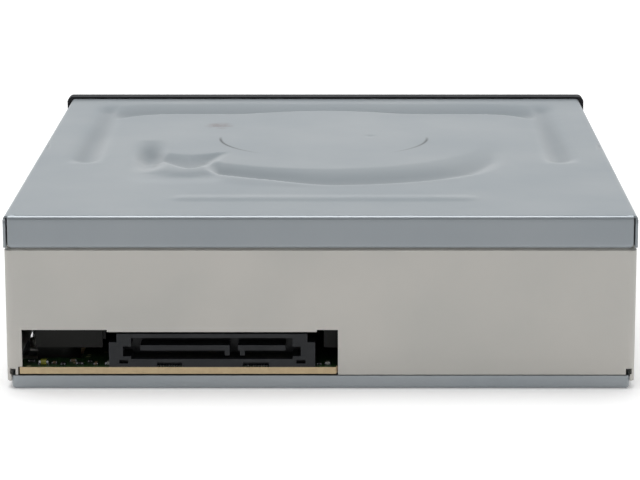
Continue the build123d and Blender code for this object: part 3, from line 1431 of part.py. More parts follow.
damper_screw = pan_screw(m2_head_radius + damper_head_margin, m2_head_height, m2_radius,
                         damper_top_z - lift_top_z + damper_screw_reach)
damper_screws = lowered(screw_group(damper_screw, [Plane((x, y, damper_top_z)) for x, y in damper_places]),
                        "damper_screws")
export_step(damper_screws, "parts/damper_screws.step")

# Traverse plate
sled_gap_x = sled_half_width + sled_side_gap
sled_front_gap_y = sled_front_y - sled_front_gap
sled_rear_gap_y = sled_front_y + sled_length + sled_travel + sled_rear_gap
motor_cut_half = sled_motor_radius + motor_side_gap
with BuildPart() as traverse_plate:
    with BuildSketch(Plane.XY.offset(plate_bottom_z)) as plate_outline:
        with Locations((0, plate_front_y)):
            Rectangle(2 * plate_half_width, plate_rear_y - plate_front_y, align=(Align.CENTER, Align.MIN))
        fillet(plate_outline.vertices(), plate_corner_radius)
        for damper_place in damper_places:
            with Locations((damper_place[0] / 2, damper_place[1])):
                Rectangle(damper_x, 2 * (damper_flange_radius + damper_arm_margin))
            with Locations(damper_place):
                Circle(damper_flange_radius + damper_arm_margin)
        with Locations((0, sled_front_gap_y)):
            Rectangle(2 * sled_gap_x, sled_rear_gap_y - sled_front_gap_y, align=(Align.CENTER, Align.MIN),
                      mode=Mode.SUBTRACT)
        with Locations((screw_axis_x, sled_motor_front_y - motor_front_gap)):
            Rectangle(2 * motor_cut_half, sled_motor_length + motor_front_gap + motor_rear_gap,
                      align=(Align.CENTER, Align.MIN), mode=Mode.SUBTRACT)
        with Locations(damper_places):
            Circle(damper_neck_radius + damper_neck_gap, mode=Mode.SUBTRACT)
    extrude(amount=plate_sheet)
traverse_plate_low = lowered(traverse_plate.part, "traverse_plate")
export_step(traverse_plate_low, "parts/traverse_plate.step")

# Disc motor: a base with bearing and coils, and a rotor cup with the shaft
with BuildPart() as spindle_stator:
    with BuildSketch(Plane.XY.offset(plate_top_z)) as stator_base:
        with Locations((0, spindle_y)):
            Rectangle(2 * (rotor_radius + stator_foot_margin), 2 * rotor_radius)
        fillet(stator_base.vertices(), stator_corner_radius)
    extrude(amount=stator_base_thickness)
    with Locations((0, spindle_y, plate_top_z)):
        Cylinder(bearing_radius, bearing_height, align=(Align.CENTER, Align.CENTER, Align.MIN))
    with BuildSketch(Plane.XY.offset(plate_top_z + coil_bottom)):
        with Locations((0, spindle_y)):
            Circle(coil_core_radius)
            with PolarLocations(coil_middle_radius, coil_count):
                Rectangle(coil_length, coil_width)
    extrude(amount=coil_height)
    with Locations((0, spindle_y, plate_top_z)):
        Cylinder(spindle_radius + spindle_gap, 4 * rotor_top_z, mode=Mode.SUBTRACT)
spindle_stator_low = lowered(spindle_stator.part, "spindle_stator")
export_step(spindle_stator_low, "parts/spindle_stator.step")

rotor_bottom_z = plate_top_z + rotor_stand_off
spindle_bottom_z = plate_top_z + spindle_foot_gap
with BuildPart() as spindle_rotor:
    with Locations((0, spindle_y, rotor_bottom_z)):
        Cylinder(rotor_radius, rotor_top_z - rotor_bottom_z, align=(Align.CENTER, Align.CENTER, Align.MIN))
    fillet(spindle_rotor.edges().group_by(Axis.Z)[-1], rotor_edge_radius)
    with Locations((0, spindle_y, rotor_bottom_z)):
        Cylinder(rotor_radius - rotor_wall, rotor_top_z - rotor_bottom_z - rotor_wall,
                 align=(Align.CENTER, Align.CENTER, Align.MIN), mode=Mode.SUBTRACT)
    with Locations((0, spindle_y, spindle_bottom_z)):
        Cylinder(spindle_radius, seat_z - spindle_bottom_z, align=(Align.CENTER, Align.CENTER, Align.MIN))
spindle_rotor_low = lowered(spindle_rotor.part, "spindle_rotor")
export_step(spindle_rotor_low, "parts/spindle_rotor.step")

# Turntable: profile from the hub nose out to the rim, revolved about the spindle
pad_bottom_z = seat_z - pad_thickness
groove_radius, groove_bottom_z = hub_radius + hub_groove_width, pad_bottom_z - hub_groove_depth
with BuildPart() as turntable:
    with BuildSketch(Plane.XZ.offset(-spindle_y)):
        with BuildLine():
            Polyline((0, rotor_top_z), (turntable_radius - turntable_chamfer, rotor_top_z),
                     (turntable_radius, rotor_top_z + turntable_chamfer),
                     (turntable_radius, pad_bottom_z), (groove_radius, pad_bottom_z),
                     (groove_radius, groove_bottom_z), (hub_radius, groove_bottom_z),
                     (hub_radius, seat_z + hub_height * hub_straight_share),
                     (hub_radius - hub_taper, seat_z + hub_height), (0, seat_z + hub_height), close=True)
        make_face()
    revolve(axis=Axis((0, spindle_y, 0), (0, 0, 1)))
    with Locations((0, spindle_y, rotor_top_z)):
        Cylinder(spindle_radius, 2 * (seat_z - rotor_top_z), mode=Mode.SUBTRACT)
turntable_low = lowered(turntable.part, "turntable")
export_step(turntable_low, "parts/turntable.step")

with BuildPart() as turntable_pad:
    with BuildSketch(Plane.XY.offset(pad_bottom_z)):
        with Locations((0, spindle_y)):
            Circle(turntable_radius)
            Circle(turntable_radius - pad_width, mode=Mode.SUBTRACT)
    extrude(amount=pad_thickness)
turntable_pad_low = lowered(turntable_pad.part, "turntable_pad")
export_step(turntable_pad_low, "parts/turntable_pad.step")

# Guide rods of the pickup and the four clamps that hold them on the plate
with BuildPart() as guide_rods:
    with BuildSketch(Plane.XZ.offset(-rod_front_y)):
        with Locations((-rod_x, rod_z), (rod_x, rod_z)):
            Circle(rod_radius)
    extrude(amount=-(rod_rear_y - rod_front_y))
guide_rods_low = lowered(guide_rods.part, "guide_rods")
export_step(guide_rods_low, "parts/guide_rods.step")

clamp_fronts = [rod_front_y + rod_clamp_front_inset, rod_rear_y - rod_clamp_rear_inset - rod_clamp_length]
with BuildPart() as rod_clamps:
    for side in (-1, 1):
        for clamp_front in clamp_fronts:
            with BuildSketch(Plane.XZ.offset(-clamp_front)):
                with Locations((side * rod_x, plate_top_z)):
                    Rectangle(2 * (rod_radius + rod_clamp_wall),
                              rod_z + rod_radius + rod_clamp_roof - plate_top_z,
                              align=(Align.CENTER, Align.MIN))
                with Locations((side * rod_x, rod_z)):
                    Circle(rod_radius + rod_clamp_gap, mode=Mode.SUBTRACT)
            extrude(amount=-rod_clamp_length)
rod_clamps_low = lowered(rod_clamps.part, "rod_clamps")
export_step(rod_clamps_low, "parts/rod_clamps.step")

# Sled drive: bent bracket, stepping motor and lead screw
screw_front_y = sled_motor_front_y + sled_motor_length
with BuildPart() as screw_bracket:
    with Locations((screw_axis_x, screw_front_y, plate_top_z)):
        Box(2 * sled_motor_radius, rod_rear_y - screw_front_y, bracket_sheet,
            align=(Align.CENTER, Align.MIN, Align.MIN))
        Box(2 * sled_motor_radius, 2 * bracket_sheet, screw_axis_z + sled_motor_radius - plate_top_z,
            align=(Align.CENTER, Align.MIN, Align.MIN))
    with Locations((screw_axis_x, rod_rear_y, plate_top_z)):
        Box(2 * sled_motor_radius, 2 * bracket_sheet,
            screw_axis_z + lead_screw_radius + bracket_bearing_wall - plate_top_z,
            align=(Align.CENTER, Align.MAX, Align.MIN))
    with BuildSketch(Plane.XZ.offset(-screw_front_y)):
        with Locations((screw_axis_x, screw_axis_z)):
            Circle(lead_screw_radius + lead_screw_gap)
    extrude(amount=-(rod_rear_y - screw_front_y), mode=Mode.SUBTRACT)
screw_bracket_low = lowered(screw_bracket.part, "screw_bracket")
export_step(screw_bracket_low, "parts/screw_bracket.step")

with BuildPart() as sled_motor:
    with BuildSketch(Plane.XZ.offset(-sled_motor_front_y)):
        with Locations((screw_axis_x, screw_axis_z)):
            Circle(sled_motor_radius)
    extrude(amount=-sled_motor_length)
    fillet(sled_motor.edges().group_by(Axis.Y)[0], sled_motor_edge_radius)
    with BuildSketch(Plane.XZ.offset(-screw_front_y)):
        with Locations((screw_axis_x, screw_axis_z)):
            Circle(lead_screw_radius + lead_screw_gap)
    extrude(amount=lead_screw_bore_depth, mode=Mode.SUBTRACT)
sled_motor_low = lowered(sled_motor.part, "sled_motor")
export_step(sled_motor_low, "parts/sled_motor.step")

with BuildPart() as lead_screw:
    with BuildSketch(Plane.XZ.offset(-(screw_front_y - lead_screw_reach))):
        with Locations((screw_axis_x, screw_axis_z)):
            Circle(lead_screw_radius)
    extrude(amount=-(rod_rear_y - screw_front_y + lead_screw_reach))
    chamfer(lead_screw.edges().filter_by(GeomType.CIRCLE), lead_screw_chamfer)
lead_screw_low = lowered(lead_screw.part, "lead_screw")
export_step(lead_screw_low, "parts/lead_screw.step")

# Pickup sled: die-cast body with a bearing on the main rod and a fork on the other
with BuildPart() as pickup_sled:
    with BuildSketch(Plane.XY.offset(sled_bottom_z)) as sled_outline:
        with Locations((0, sled_front_y)):
            Rectangle(2 * sled_half_width, sled_length, align=(Align.CENTER, Align.MIN))
        chamfer(sled_outline.vertices().group_by(Axis.Y)[0], sled_front_chamfer)
        fillet(sled_outline.vertices().group_by(Axis.Y)[-1], sled_rear_radius)
    extrude(amount=sled_top_z - sled_bottom_z)
    with Locations((0, sled_front_y + sled_length / 2, sled_bottom_z)):
        Box(2 * (sled_half_width - sled_side_wall), sled_length - 2 * sled_end_wall, 2 * sled_pocket_depth,
            mode=Mode.SUBTRACT)
    sled_block_width = rod_x + sled_block_half - sled_half_width + sled_block_overlap
    with Locations((-rod_x - sled_block_half, sled_front_y + sled_bearing_start, rod_z)):
        Box(sled_block_width, sled_length - sled_bearing_start - sled_block_overlap, sled_block_height,
            align=(Align.MIN, Align.MIN, Align.CENTER))
    with Locations((rod_x + sled_block_half, sled_front_y + sled_fork_start, rod_z)):
        Box(sled_block_width, sled_fork_length, sled_block_height, align=(Align.MAX, Align.MIN, Align.CENTER))
    with BuildSketch(Plane.XZ.offset(-(sled_front_y - sled_bore_overrun))):
        with Locations((-rod_x, rod_z)):
            Circle(rod_radius + rod_clearance)
        with Locations((rod_x, rod_z)):
            Circle(rod_radius + rod_clearance)
            Rectangle(2 * sled_block_half, 2 * (rod_radius + rod_clearance), align=(Align.MIN, Align.CENTER))
    extrude(amount=-(sled_length + 2 * sled_bore_overrun), mode=Mode.SUBTRACT)
pickup_sled_low = lowered(pickup_sled.part, "pickup_sled")
export_step(pickup_sled_low, "parts/pickup_sled.step")

# Half nut that follows the thread of the lead screw
with BuildPart() as sled_nut:
    nut_right_x = -rod_x - sled_block_half
    with Locations((nut_right_x, sled_front_y + nut_start, screw_axis_z)):
        Box(nut_right_x - screw_axis_x, nut_length, nut_height, align=(Align.MAX, Align.MIN, Align.CENTER))
    with BuildSketch(Plane.XZ.offset(-(sled_front_y + nut_start - sled_bore_overrun))):
        with Locations((screw_axis_x, screw_axis_z)):
            Circle(lead_screw_radius + nut_thread_gap)
    extrude(amount=-(nut_length + 2 * sled_bore_overrun), mode=Mode.SUBTRACT)
sled_nut_low = lowered(sled_nut.part, "sled_nut")
export_step(sled_nut_low, "parts/sled_nut.step")

# Lens drive: yoke with two magnets, and the holder that floats between them
with BuildPart() as lens_yoke:
    with Locations((0, lens_y, sled_top_z)):
        Box(yoke_width, yoke_length, yoke_sheet, align=(Align.CENTER, Align.CENTER, Align.MIN))
    for side in (-1, 1):
        with Locations((0, lens_y + side * yoke_length / 2, sled_top_z)):
            Box(yoke_wing_width, yoke_sheet, yoke_wing_height,
                align=(Align.CENTER, Align.MIN if side < 0 else Align.MAX, Align.MIN))
lens_yoke_low = lowered(lens_yoke.part, "lens_yoke")
export_step(lens_yoke_low, "parts/lens_yoke.step")

with BuildPart() as lens_magnets:
    for side in (-1, 1):
        with Locations((0, lens_y + side * (yoke_length / 2 - yoke_sheet), sled_top_z + yoke_sheet)):
            Box(lens_magnet_width, lens_magnet_thickness, lens_magnet_height,
                align=(Align.CENTER, Align.MIN if side < 0 else Align.MAX, Align.MIN))
lens_magnets_low = lowered(lens_magnets.part, "lens_magnets")
export_step(lens_magnets_low, "parts/lens_magnets.step")

holder_depth = yoke_length - 2 * (yoke_sheet + lens_magnet_thickness + lens_gap)
holder_bottom_z = sled_top_z + yoke_sheet + lens_float
with BuildPart() as lens_holder:
    with BuildSketch(Plane.XY.offset(holder_bottom_z)):
        with Locations((0, lens_y)):
            RectangleRounded(holder_width, holder_depth, holder_corner_radius)
            Circle(lens_radius - lens_ledge, mode=Mode.SUBTRACT)
    extrude(amount=holder_height)
    with Locations((0, lens_y, holder_bottom_z + holder_height)):
        Cylinder(lens_radius, 2 * lens_seat_depth, mode=Mode.SUBTRACT)
lens_holder_low = lowered(lens_holder.part, "lens_holder")
export_step(lens_holder_low, "parts/lens_holder.step")

# Objective lens: a thin spherical cap on a flat rim, revolved
lens_seat_z = holder_bottom_z + holder_height - lens_seat_depth
lens_rim_z, lens_top_z = lens_seat_z + lens_rim_height, lens_seat_z + lens_height
lens_outer_radius = lens_radius - lens_fit_gap
lens_dome_radius = lens_radius - lens_rim_width
with BuildPart() as objective_lens:
    with BuildSketch(Plane.XZ.offset(-lens_y)):
        with BuildLine():
            Polyline((0, lens_seat_z), (lens_outer_radius, lens_seat_z), (lens_outer_radius, lens_rim_z),
                     (lens_dome_radius, lens_rim_z))
            ThreePointArc((lens_dome_radius, lens_rim_z),
                          (lens_middle_radius, lens_seat_z + lens_middle_height),
                          (lens_flat_radius, lens_top_z))
            Polyline((lens_flat_radius, lens_top_z), (0, lens_top_z), (0, lens_seat_z))
        make_face()
    revolve(axis=Axis((0, lens_y, 0), (0, 0, 1)))
objective_lens_low = lowered(objective_lens.part, "objective_lens")
export_step(objective_lens_low, "parts/objective_lens.step")

# Clamp bridge: sheet with turned-down flanges that snap over the loader walls, and a round hole for the puck
bridge_half_width = loader_half_width + bridge_flange_gap + bridge_sheet
with BuildPart() as clamp_bridge:
    with Locations((0, disc_y, bridge_flange_bottom_z)):
        Box(2 * bridge_half_width, bridge_depth, bridge_top_z - bridge_flange_bottom_z,
            align=(Align.CENTER, Align.CENTER, Align.MIN))
    fillet(clamp_bridge.edges().filter_by(Axis.Y).group_by(Axis.Z)[-1], bridge_edge_radius)
    with Locations((0, disc_y, bridge_bottom_z)):
        Box(2 * (loader_half_width + bridge_flange_gap), 2 * bridge_depth, bridge_bottom_z,
            align=(Align.CENTER, Align.CENTER, Align.MAX), mode=Mode.SUBTRACT)
        Cylinder(bridge_hole_radius, 3 * bridge_sheet, mode=Mode.SUBTRACT)
    with Locations([(x, disc_y, bridge_bottom_z) for x in (-bridge_slot_x, bridge_slot_x)]):
        Box(bridge_slot_length, bridge_slot_width, 3 * bridge_sheet, mode=Mode.SUBTRACT)
    with Locations([(0, disc_y + dy, latch_bottom_z - bridge_flange_gap) for dy in bridge_latch_dys]):
        Box(3 * bridge_half_width, bridge_window_length, bridge_window_height,
            align=(Align.CENTER, Align.CENTER, Align.MIN), mode=Mode.SUBTRACT)
clamp_bridge.part.label = "clamp_bridge"
export_step(clamp_bridge.part, "parts/clamp_bridge.step")

# Clamp puck: hangs by its flange in the bridge; the magnet and its steel plate sit in its upper pocket
puck_flange_z = bridge_top_z + puck_hang_gap
puck_top_z = puck_flange_z + puck_flange_thickness
with BuildPart() as clamp_puck:
    with Locations((0, disc_y, puck_bottom_z)):
        Cylinder(puck_radius, puck_top_z - puck_bottom_z, align=(Align.CENTER, Align.CENTER, Align.MIN))
    fillet(clamp_puck.edges().group_by(Axis.Z)[0], puck_edge_radius)
    with Locations((0, disc_y, puck_flange_z)):
        Cylinder(puck_flange_radius, puck_flange_thickness, align=(Align.CENTER, Align.CENTER, Align.MIN))
    with Locations((0, disc_y, puck_bottom_z)):
        Cylinder(hub_radius + hub_pocket_margin, hub_pocket_depth,
                 align=(Align.CENTER, Align.CENTER, Align.MIN), mode=Mode.SUBTRACT)
    with Locations((0, disc_y, puck_top_z)):
        Cylinder(magnet_radius + magnet_fit_gap, magnet_height, align=(Align.CENTER, Align.CENTER, Align.MAX),
                 mode=Mode.SUBTRACT)
clamp_puck.part.label = "clamp_puck"
export_step(clamp_puck.part, "parts/clamp_puck.step")

with BuildPart() as clamp_magnet:
    with BuildSketch(Plane.XY.offset(puck_top_z - magnet_height)):
        with Locations((0, disc_y)):
            Circle(magnet_radius)
            Circle(magnet_radius / 2, mode=Mode.SUBTRACT)
    extrude(amount=magnet_height)
clamp_magnet.part.label = "clamp_magnet"
export_step(clamp_magnet.part, "parts/clamp_magnet.step")

with BuildPart() as magnet_plate:
    with Locations((0, disc_y, puck_top_z)):
        Cylinder(magnet_radius + magnet_plate_margin, yoke_thickness,
                 align=(Align.CENTER, Align.CENTER, Align.MIN))
    chamfer(magnet_plate.edges().group_by(Axis.Z)[-1], magnet_plate_chamfer)
magnet_plate.part.label = "magnet_plate"
export_step(magnet_plate.part, "parts/magnet_plate.step")

# Pegs of the rear socket that stand in the board
socket_peg_xs = (socket_left_x - socket_peg_inset, socket_right_x + socket_peg_inset)
socket_peg_places = [(x, rear_y - socket_length / 2) for x in socket_peg_xs]

# Main board: covers the rear of the drive, with a tongue through the rear wall and cut round the posts
with BuildPart() as main_board:
    with BuildSketch(Plane.XY.offset(board_bottom_z)):
        with Locations((0, board_front_y)):
            Rectangle(2 * board_half_width, rear_y - chassis_sheet - board_wall_gap - board_front_y,
                      align=(Align.CENTER, Align.MIN))
        with Locations((board_tongue_left_x, rear_y)):
            Rectangle(board_tongue_left_x - board_tongue_right_x, board_tongue_depth,
                      align=(Align.MAX, Align.MAX))
        for side in (-1, 1):
            with Locations((side * (cover_screw_x - post_radius - board_post_gap), cover_screw_ys[1])):
                Rectangle(half_width, 2 * (post_radius + board_post_gap),
                          align=(Align.MIN if side > 0 else Align.MAX, Align.CENTER), mode=Mode.SUBTRACT)
        with Locations(board_screw_places):
            Circle(m2_hole_radius, mode=Mode.SUBTRACT)
        with Locations(socket_peg_places):
            Circle(socket_peg_radius + socket_peg_gap, mode=Mode.SUBTRACT)
    extrude(amount=board_thickness)
main_board.part.label = "main_board"
export_step(main_board.part, "parts/main_board.step")

board_screw = pan_screw(m2_head_radius, m2_head_height, m2_radius,
                        board_thickness + board_screw_length - board_screw_end_gap)
board_screws = screw_group(board_screw, [Plane((x, y, board_bottom_z), x_dir=(1, 0, 0), z_dir=(0, 0, -1))
                                         for x, y in board_screw_places])
board_screws.label = "board_screws"
export_step(board_screws, "parts/board_screws.step")

# Serial socket with its power and signal tongues, open to the rear
cavity_bottom_z = board_top_z + socket_cavity_floor
cavity_top_z = board_top_z + socket_height - socket_cavity_roof
socket_tongues = [(power_tongue_left_x, power_tongue_right_x), (signal_tongue_left_x, signal_tongue_right_x)]
socket_pocket_xs = (socket_left_x - socket_pocket_left_inset, socket_right_x + socket_pocket_right_inset)
with BuildPart() as sata_socket:
    with BuildSketch(Plane.XZ.offset(-rear_y)):
        with Locations((socket_mid_x, board_top_z)):
            Rectangle(socket_width, socket_height - socket_step_z, align=(Align.CENTER, Align.MIN))
            Rectangle(socket_width - 2 * socket_step_x, socket_height, align=(Align.CENTER, Align.MIN))
    extrude(amount=socket_length)
    # Cavity with a keyway at each end and small lead-in corners at its top
    with BuildSketch(Plane.XZ.offset(-rear_y)):
        with Locations((socket_cavity_left_x, cavity_bottom_z)):
            Rectangle(socket_cavity_left_x - socket_cavity_right_x, cavity_top_z - cavity_bottom_z,
                      align=(Align.MAX, Align.MIN))
        for edge_x, side in ((socket_cavity_left_x, 1), (socket_cavity_right_x, -1)):
            with Locations((edge_x, cavity_bottom_z + socket_key_rise)):
                Rectangle(2 * socket_key_depth, socket_key_height, align=(Align.CENTER, Align.MIN))
    extrude(amount=socket_cavity_depth, mode=Mode.SUBTRACT)
    # Blind pockets beside the cavity and solder windows under it
    with BuildSketch(Plane.XZ.offset(-rear_y)):
        for pocket_x in socket_pocket_xs:
            with Locations((pocket_x, board_top_z + socket_pocket_rise)):
                Rectangle(socket_pocket_width, socket_pocket_height)
        for window_left_x, window_right_x in solder_windows:
            with Locations((window_left_x, board_top_z)):
                Rectangle(window_left_x - window_right_x, solder_window_height, align=(Align.MAX, Align.MIN))
    extrude(amount=solder_window_depth, mode=Mode.SUBTRACT)
    # Tongues: flat blades with a hooked end towards the signal side
    for tongue_left_x, tongue_right_x in socket_tongues:
        at_right = tongue_left_x == power_tongue_left_x
        hook_x = tongue_right_x if at_right else tongue_left_x - signal_hook_inset
        with BuildSketch(Plane.XZ.offset(-(rear_y - socket_cavity_depth - tongue_root))):
            with Locations((tongue_left_x, board_top_z + tongue_bottom)):
                Rectangle(tongue_left_x - tongue_right_x, tongue_thickness, align=(Align.MAX, Align.MIN))
            with Locations((hook_x, board_top_z + tongue_bottom - tongue_hook_drop)):
                Rectangle(tongue_hook_width, tongue_hook_drop + tongue_thickness,
                          align=(Align.MIN if at_right else Align.MAX, Align.MIN))
        extrude(amount=-(tongue_length + tongue_root))
    with Locations([(x, y, board_top_z) for x, y in socket_peg_places]):
        Cylinder(socket_peg_radius, board_thickness, align=(Align.CENTER, Align.CENTER, Align.MAX))
sata_socket.part.label = "sata_socket"
export_step(sata_socket.part, "parts/sata_socket.step")


# Contact strips under one tongue, clear of its hook, each with a lead down behind the socket to the board
def contact_row(left_x, right_x, count):
    first_x = (left_x + right_x) / 2 - contact_pitch * (count - 1) / 2
    with BuildPart() as row:
        for place in range(count):
            x = first_x + place * contact_pitch
            with Locations((x, rear_y - socket_length - contact_gap, board_top_z + contact_gap)):
                Box(contact_width, contact_sheet, tongue_bottom, align=(Align.CENTER, Align.MAX, Align.MIN))
                Box(contact_width, contact_foot, contact_sheet, align=(Align.CENTER, Align.MAX, Align.MIN))
            with Locations((x, rear_y - socket_cavity_depth + contact_gap, board_top_z + tongue_bottom)):
                Box(contact_width, tongue_length - contact_setback, contact_thickness,
                    align=(Align.CENTER, Align.MIN, Align.MAX))
    return row.part


power_contacts = contact_row(power_tongue_left_x, power_tongue_right_x + tongue_hook_width,
                             power_contact_count)
power_contacts.label = "power_contacts"
export_step(power_contacts, "parts/power_contacts.step")
signal_contacts = contact_row(signal_tongue_left_x - signal_hook_inset - tongue_hook_width,
                              signal_tongue_right_x, signal_contact_count)
signal_contacts.label = "signal_contacts"
export_step(signal_contacts, "parts/signal_contacts.step")


# Flat chip with its leads as short feet along the given sides
def chip_solid(x, y, width, depth, height, lead_count, sides):
    with BuildPart() as chip:
        with Locations((x, y, board_top_z + chip_stand_off)):
            Box(width, depth, height, align=(Align.CENTER, Align.CENTER, Align.MIN))
        chamfer(chip.edges().group_by(Axis.Z)[-1], chip_edge_chamfer)
        for turn in sides:
            lengthwise = turn in (0, 180)
            reach = (depth if lengthwise else width) / 2
            span = (width if lengthwise else depth) - 2 * chip_lead_margin
            lead_size = (chip_lead_width, chip_lead_reach)
            lead_size = lead_size if lengthwise else lead_size[::-1]
            for place in range(lead_count):
                along = span * (place / (lead_count - 1) - 1 / 2)
                across = reach + chip_lead_reach / 2 - chip_lead_bury
                place_x, place_y = {0: (along, across), 180: (along, -across),
                                    90: (across, along), 270: (-across, along)}[turn]
                with Locations((x + place_x, y + place_y, board_top_z)):
                    Box(*lead_size, chip_lead_height, align=(Align.CENTER, Align.CENTER, Align.MIN))
    return chip.part


controller_chip = chip_solid(*controller_row)
controller_chip.label = "controller_chip"
export_step(controller_chip, "parts/controller_chip.step")
driver_chip = chip_solid(*driver_row)
driver_chip.label = "driver_chip"
export_step(driver_chip, "parts/driver_chip.step")
memory_chip = chip_solid(*memory_row)
memory_chip.label = "memory_chip"
export_step(memory_chip, "parts/memory_chip.step")

with BuildPart() as board_capacitors:
    for capacitor_x, capacitor_y in capacitor_places:
        with Locations((capacitor_x, capacitor_y, board_top_z)):
            Box(capacitor_foot_width, capacitor_foot_width, capacitor_foot_height,
                align=(Align.CENTER, Align.CENTER, Align.MIN))
            Cylinder(capacitor_radius, capacitor_height, align=(Align.CENTER, Align.CENTER, Align.MIN))
board_capacitors.part.label = "board_capacitors"
export_step(board_capacitors.part, "parts/board_capacitors.step")

# Small parts on the board beside the socket, seen through the rear opening
with BuildPart() as board_passives:
    for part_x, part_y, part_width, part_depth, part_height in passive_sizes:
        with Locations((part_x, part_y, board_top_z)):
            Box(part_width, part_depth, part_height, align=(Align.CENTER, Align.CENTER, Align.MIN))
board_passives.part.label = "board_passives"
export_step(board_passives.part, "parts/board_passives.step")

# Sockets for the flat cables, with a hollow mouth and a hinged bar above it
with BuildPart() as cable_sockets:
    for socket_x, socket_y, pin_count in cable_socket_places:
        cable_width = pin_count * cable_pin_pitch + 2 * cable_end_margin
        with Locations((socket_x, socket_y, board_top_z)):
            Box(cable_width + 2 * cable_socket_wall, cable_socket_depth, cable_socket_height,
                align=(Align.CENTER, Align.CENTER, Align.MIN))
        with Locations((socket_x, socket_y - cable_socket_depth / 2, board_top_z + cable_mouth_rise)):
            Box(cable_width, 2 * cable_mouth_depth, cable_mouth_height,
                align=(Align.CENTER, Align.CENTER, Align.MIN), mode=Mode.SUBTRACT)
cable_sockets.part.label = "cable_sockets"
export_step(cable_sockets.part, "parts/cable_sockets.step")
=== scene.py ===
import math
import bmesh
import bpy
import numpy as np
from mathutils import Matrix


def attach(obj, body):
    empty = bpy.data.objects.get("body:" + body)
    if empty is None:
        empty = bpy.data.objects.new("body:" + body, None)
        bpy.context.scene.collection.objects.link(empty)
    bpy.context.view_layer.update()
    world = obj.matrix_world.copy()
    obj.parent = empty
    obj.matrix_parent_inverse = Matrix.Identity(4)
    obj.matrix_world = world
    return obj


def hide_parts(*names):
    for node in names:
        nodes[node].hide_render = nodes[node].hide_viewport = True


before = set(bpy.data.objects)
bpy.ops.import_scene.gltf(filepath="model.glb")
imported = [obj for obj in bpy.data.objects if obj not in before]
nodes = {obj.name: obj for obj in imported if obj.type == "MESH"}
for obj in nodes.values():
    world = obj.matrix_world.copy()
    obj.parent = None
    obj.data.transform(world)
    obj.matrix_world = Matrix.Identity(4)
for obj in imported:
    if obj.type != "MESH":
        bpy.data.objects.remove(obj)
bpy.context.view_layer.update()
print("frame loaded with", len(nodes), "nodes")

mm = 0.001
fullTurn = 2 * math.pi
weldGap = 1e-7
# keeps a share from being divided by nought
tiny = 1e-6


# Mesh helpers

# Quads of a grid of points; a closed direction joins its last line to its first
def gridQuads(rowCount, colCount, closeRows=False, closeCols=False):
    rows = np.arange(rowCount if closeRows else rowCount - 1)
    cols = np.arange(colCount if closeCols else colCount - 1)
    row, col = np.meshgrid(rows, cols, indexing="ij")
    nextRow, nextCol = (row + 1) % rowCount, (col + 1) % colCount
    corners = (row * colCount + col, nextRow * colCount + col,
               nextRow * colCount + nextCol, row * colCount + nextCol)
    return np.stack(corners, -1).reshape(-1, 4)


# One mesh from (points in millimetres, quads) blocks, with doubles merged and sharp edges by angle
def makePiece(name, blocks, body, finish, recalc=True, sharpDegrees=40):
    starts = np.cumsum([0] + [len(points.reshape(-1, 3)) for points, quads in blocks])
    allPoints = np.concatenate([points.reshape(-1, 3) for points, quads in blocks]) * mm
    allQuads = np.concatenate([quads + start for (points, quads), start in zip(blocks, starts)])
    mesh = bpy.data.meshes.new(name)
    mesh.from_pydata(allPoints.tolist(), [], allQuads.tolist())
    sheet = bmesh.new()
    sheet.from_mesh(mesh)
    bmesh.ops.remove_doubles(sheet, verts=sheet.verts, dist=weldGap)
    bmesh.ops.dissolve_degenerate(sheet, edges=sheet.edges, dist=weldGap)
    if recalc:
        bmesh.ops.recalc_face_normals(sheet, faces=sheet.faces)
    sheet.to_mesh(mesh)
    sheet.free()
    mesh.shade_smooth()
    mesh.set_sharp_from_angle(angle=math.radians(sharpDegrees))
    mesh.materials.append(finish)
    piece = bpy.data.objects.new(name, mesh)
    bpy.context.scene.collection.objects.link(piece)
    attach(piece, body)
    return piece


# Coordinates from low to high, closer together near each spot (place, width, share)
def unevenSteps(low, high, count, spots):
    fine = np.linspace(low, high, 6000)
    density = np.ones_like(fine)
    for place, width, share in spots:
        density += share * np.exp(-((fine - place) / width) ** 2)
    total = np.cumsum(density)
    return np.interp(np.linspace(total[0], total[-1], count), total, fine)


def easeStep(low, high, value):
    share = np.clip((value - low) / (high - low), 0, 1)
    return share * share * (3 - 2 * share)


# Ramp whose two ends are rounded: a share of it is straight, the rest eased
def softRamp(low, high, value, straight=0.65):
    share = np.clip((value - low) / (high - low), 0, 1)
    return straight * share + (1 - straight) * easeStep(low, high, value)


# Cosine bump: one in the middle, none from its half width outwards
def cosineBump(distance, half):
    return 0.5 * (1 + np.cos(math.pi * np.clip(distance / half, 0, 1)))


# Distance from every point to a chain of straight runs
def chainDistance(x, y, chain):
    best = np.full(x.shape, 1e9)
    for (startX, startY), (endX, endY) in zip(chain[:-1], chain[1:]):
        runX, runY = endX - startX, endY - startY
        share = np.clip(((x - startX) * runX + (y - startY) * runY) / (runX ** 2 + runY ** 2), 0, 1)
        best = np.minimum(best, np.hypot(x - startX - share * runX, y - startY - share * runY))
    return best


# Which points lie inside a closed chain: an odd number of its runs is crossed to the right
def insideChain(x, y, chain):
    inside = np.zeros(x.shape, bool)
    for (startX, startY), (endX, endY) in zip(chain, chain[1:] + chain[:1]):
        if startY != endY:
            crossX = startX + (y - startY) * (endX - startX) / (endY - startY)
            inside ^= ((startY > y) != (endY > y)) & (x < crossX)
    return inside


liftRest = dict(degrees=6, pivotY=70.0, pivotZ=14.5)


# Level points of the lift turned down about its rear pivots, as they rest
def lowered(points):
    turn = math.radians(liftRest["degrees"])
    pivotY, pivotZ = liftRest["pivotY"], liftRest["pivotZ"]
    y, z = points[..., 1] - pivotY, points[..., 2] - pivotZ
    return np.stack([points[..., 0], pivotY + y * math.cos(turn) - z * math.sin(turn),
                     pivotZ + z * math.cos(turn) + y * math.sin(turn)], -1)


# Material groups

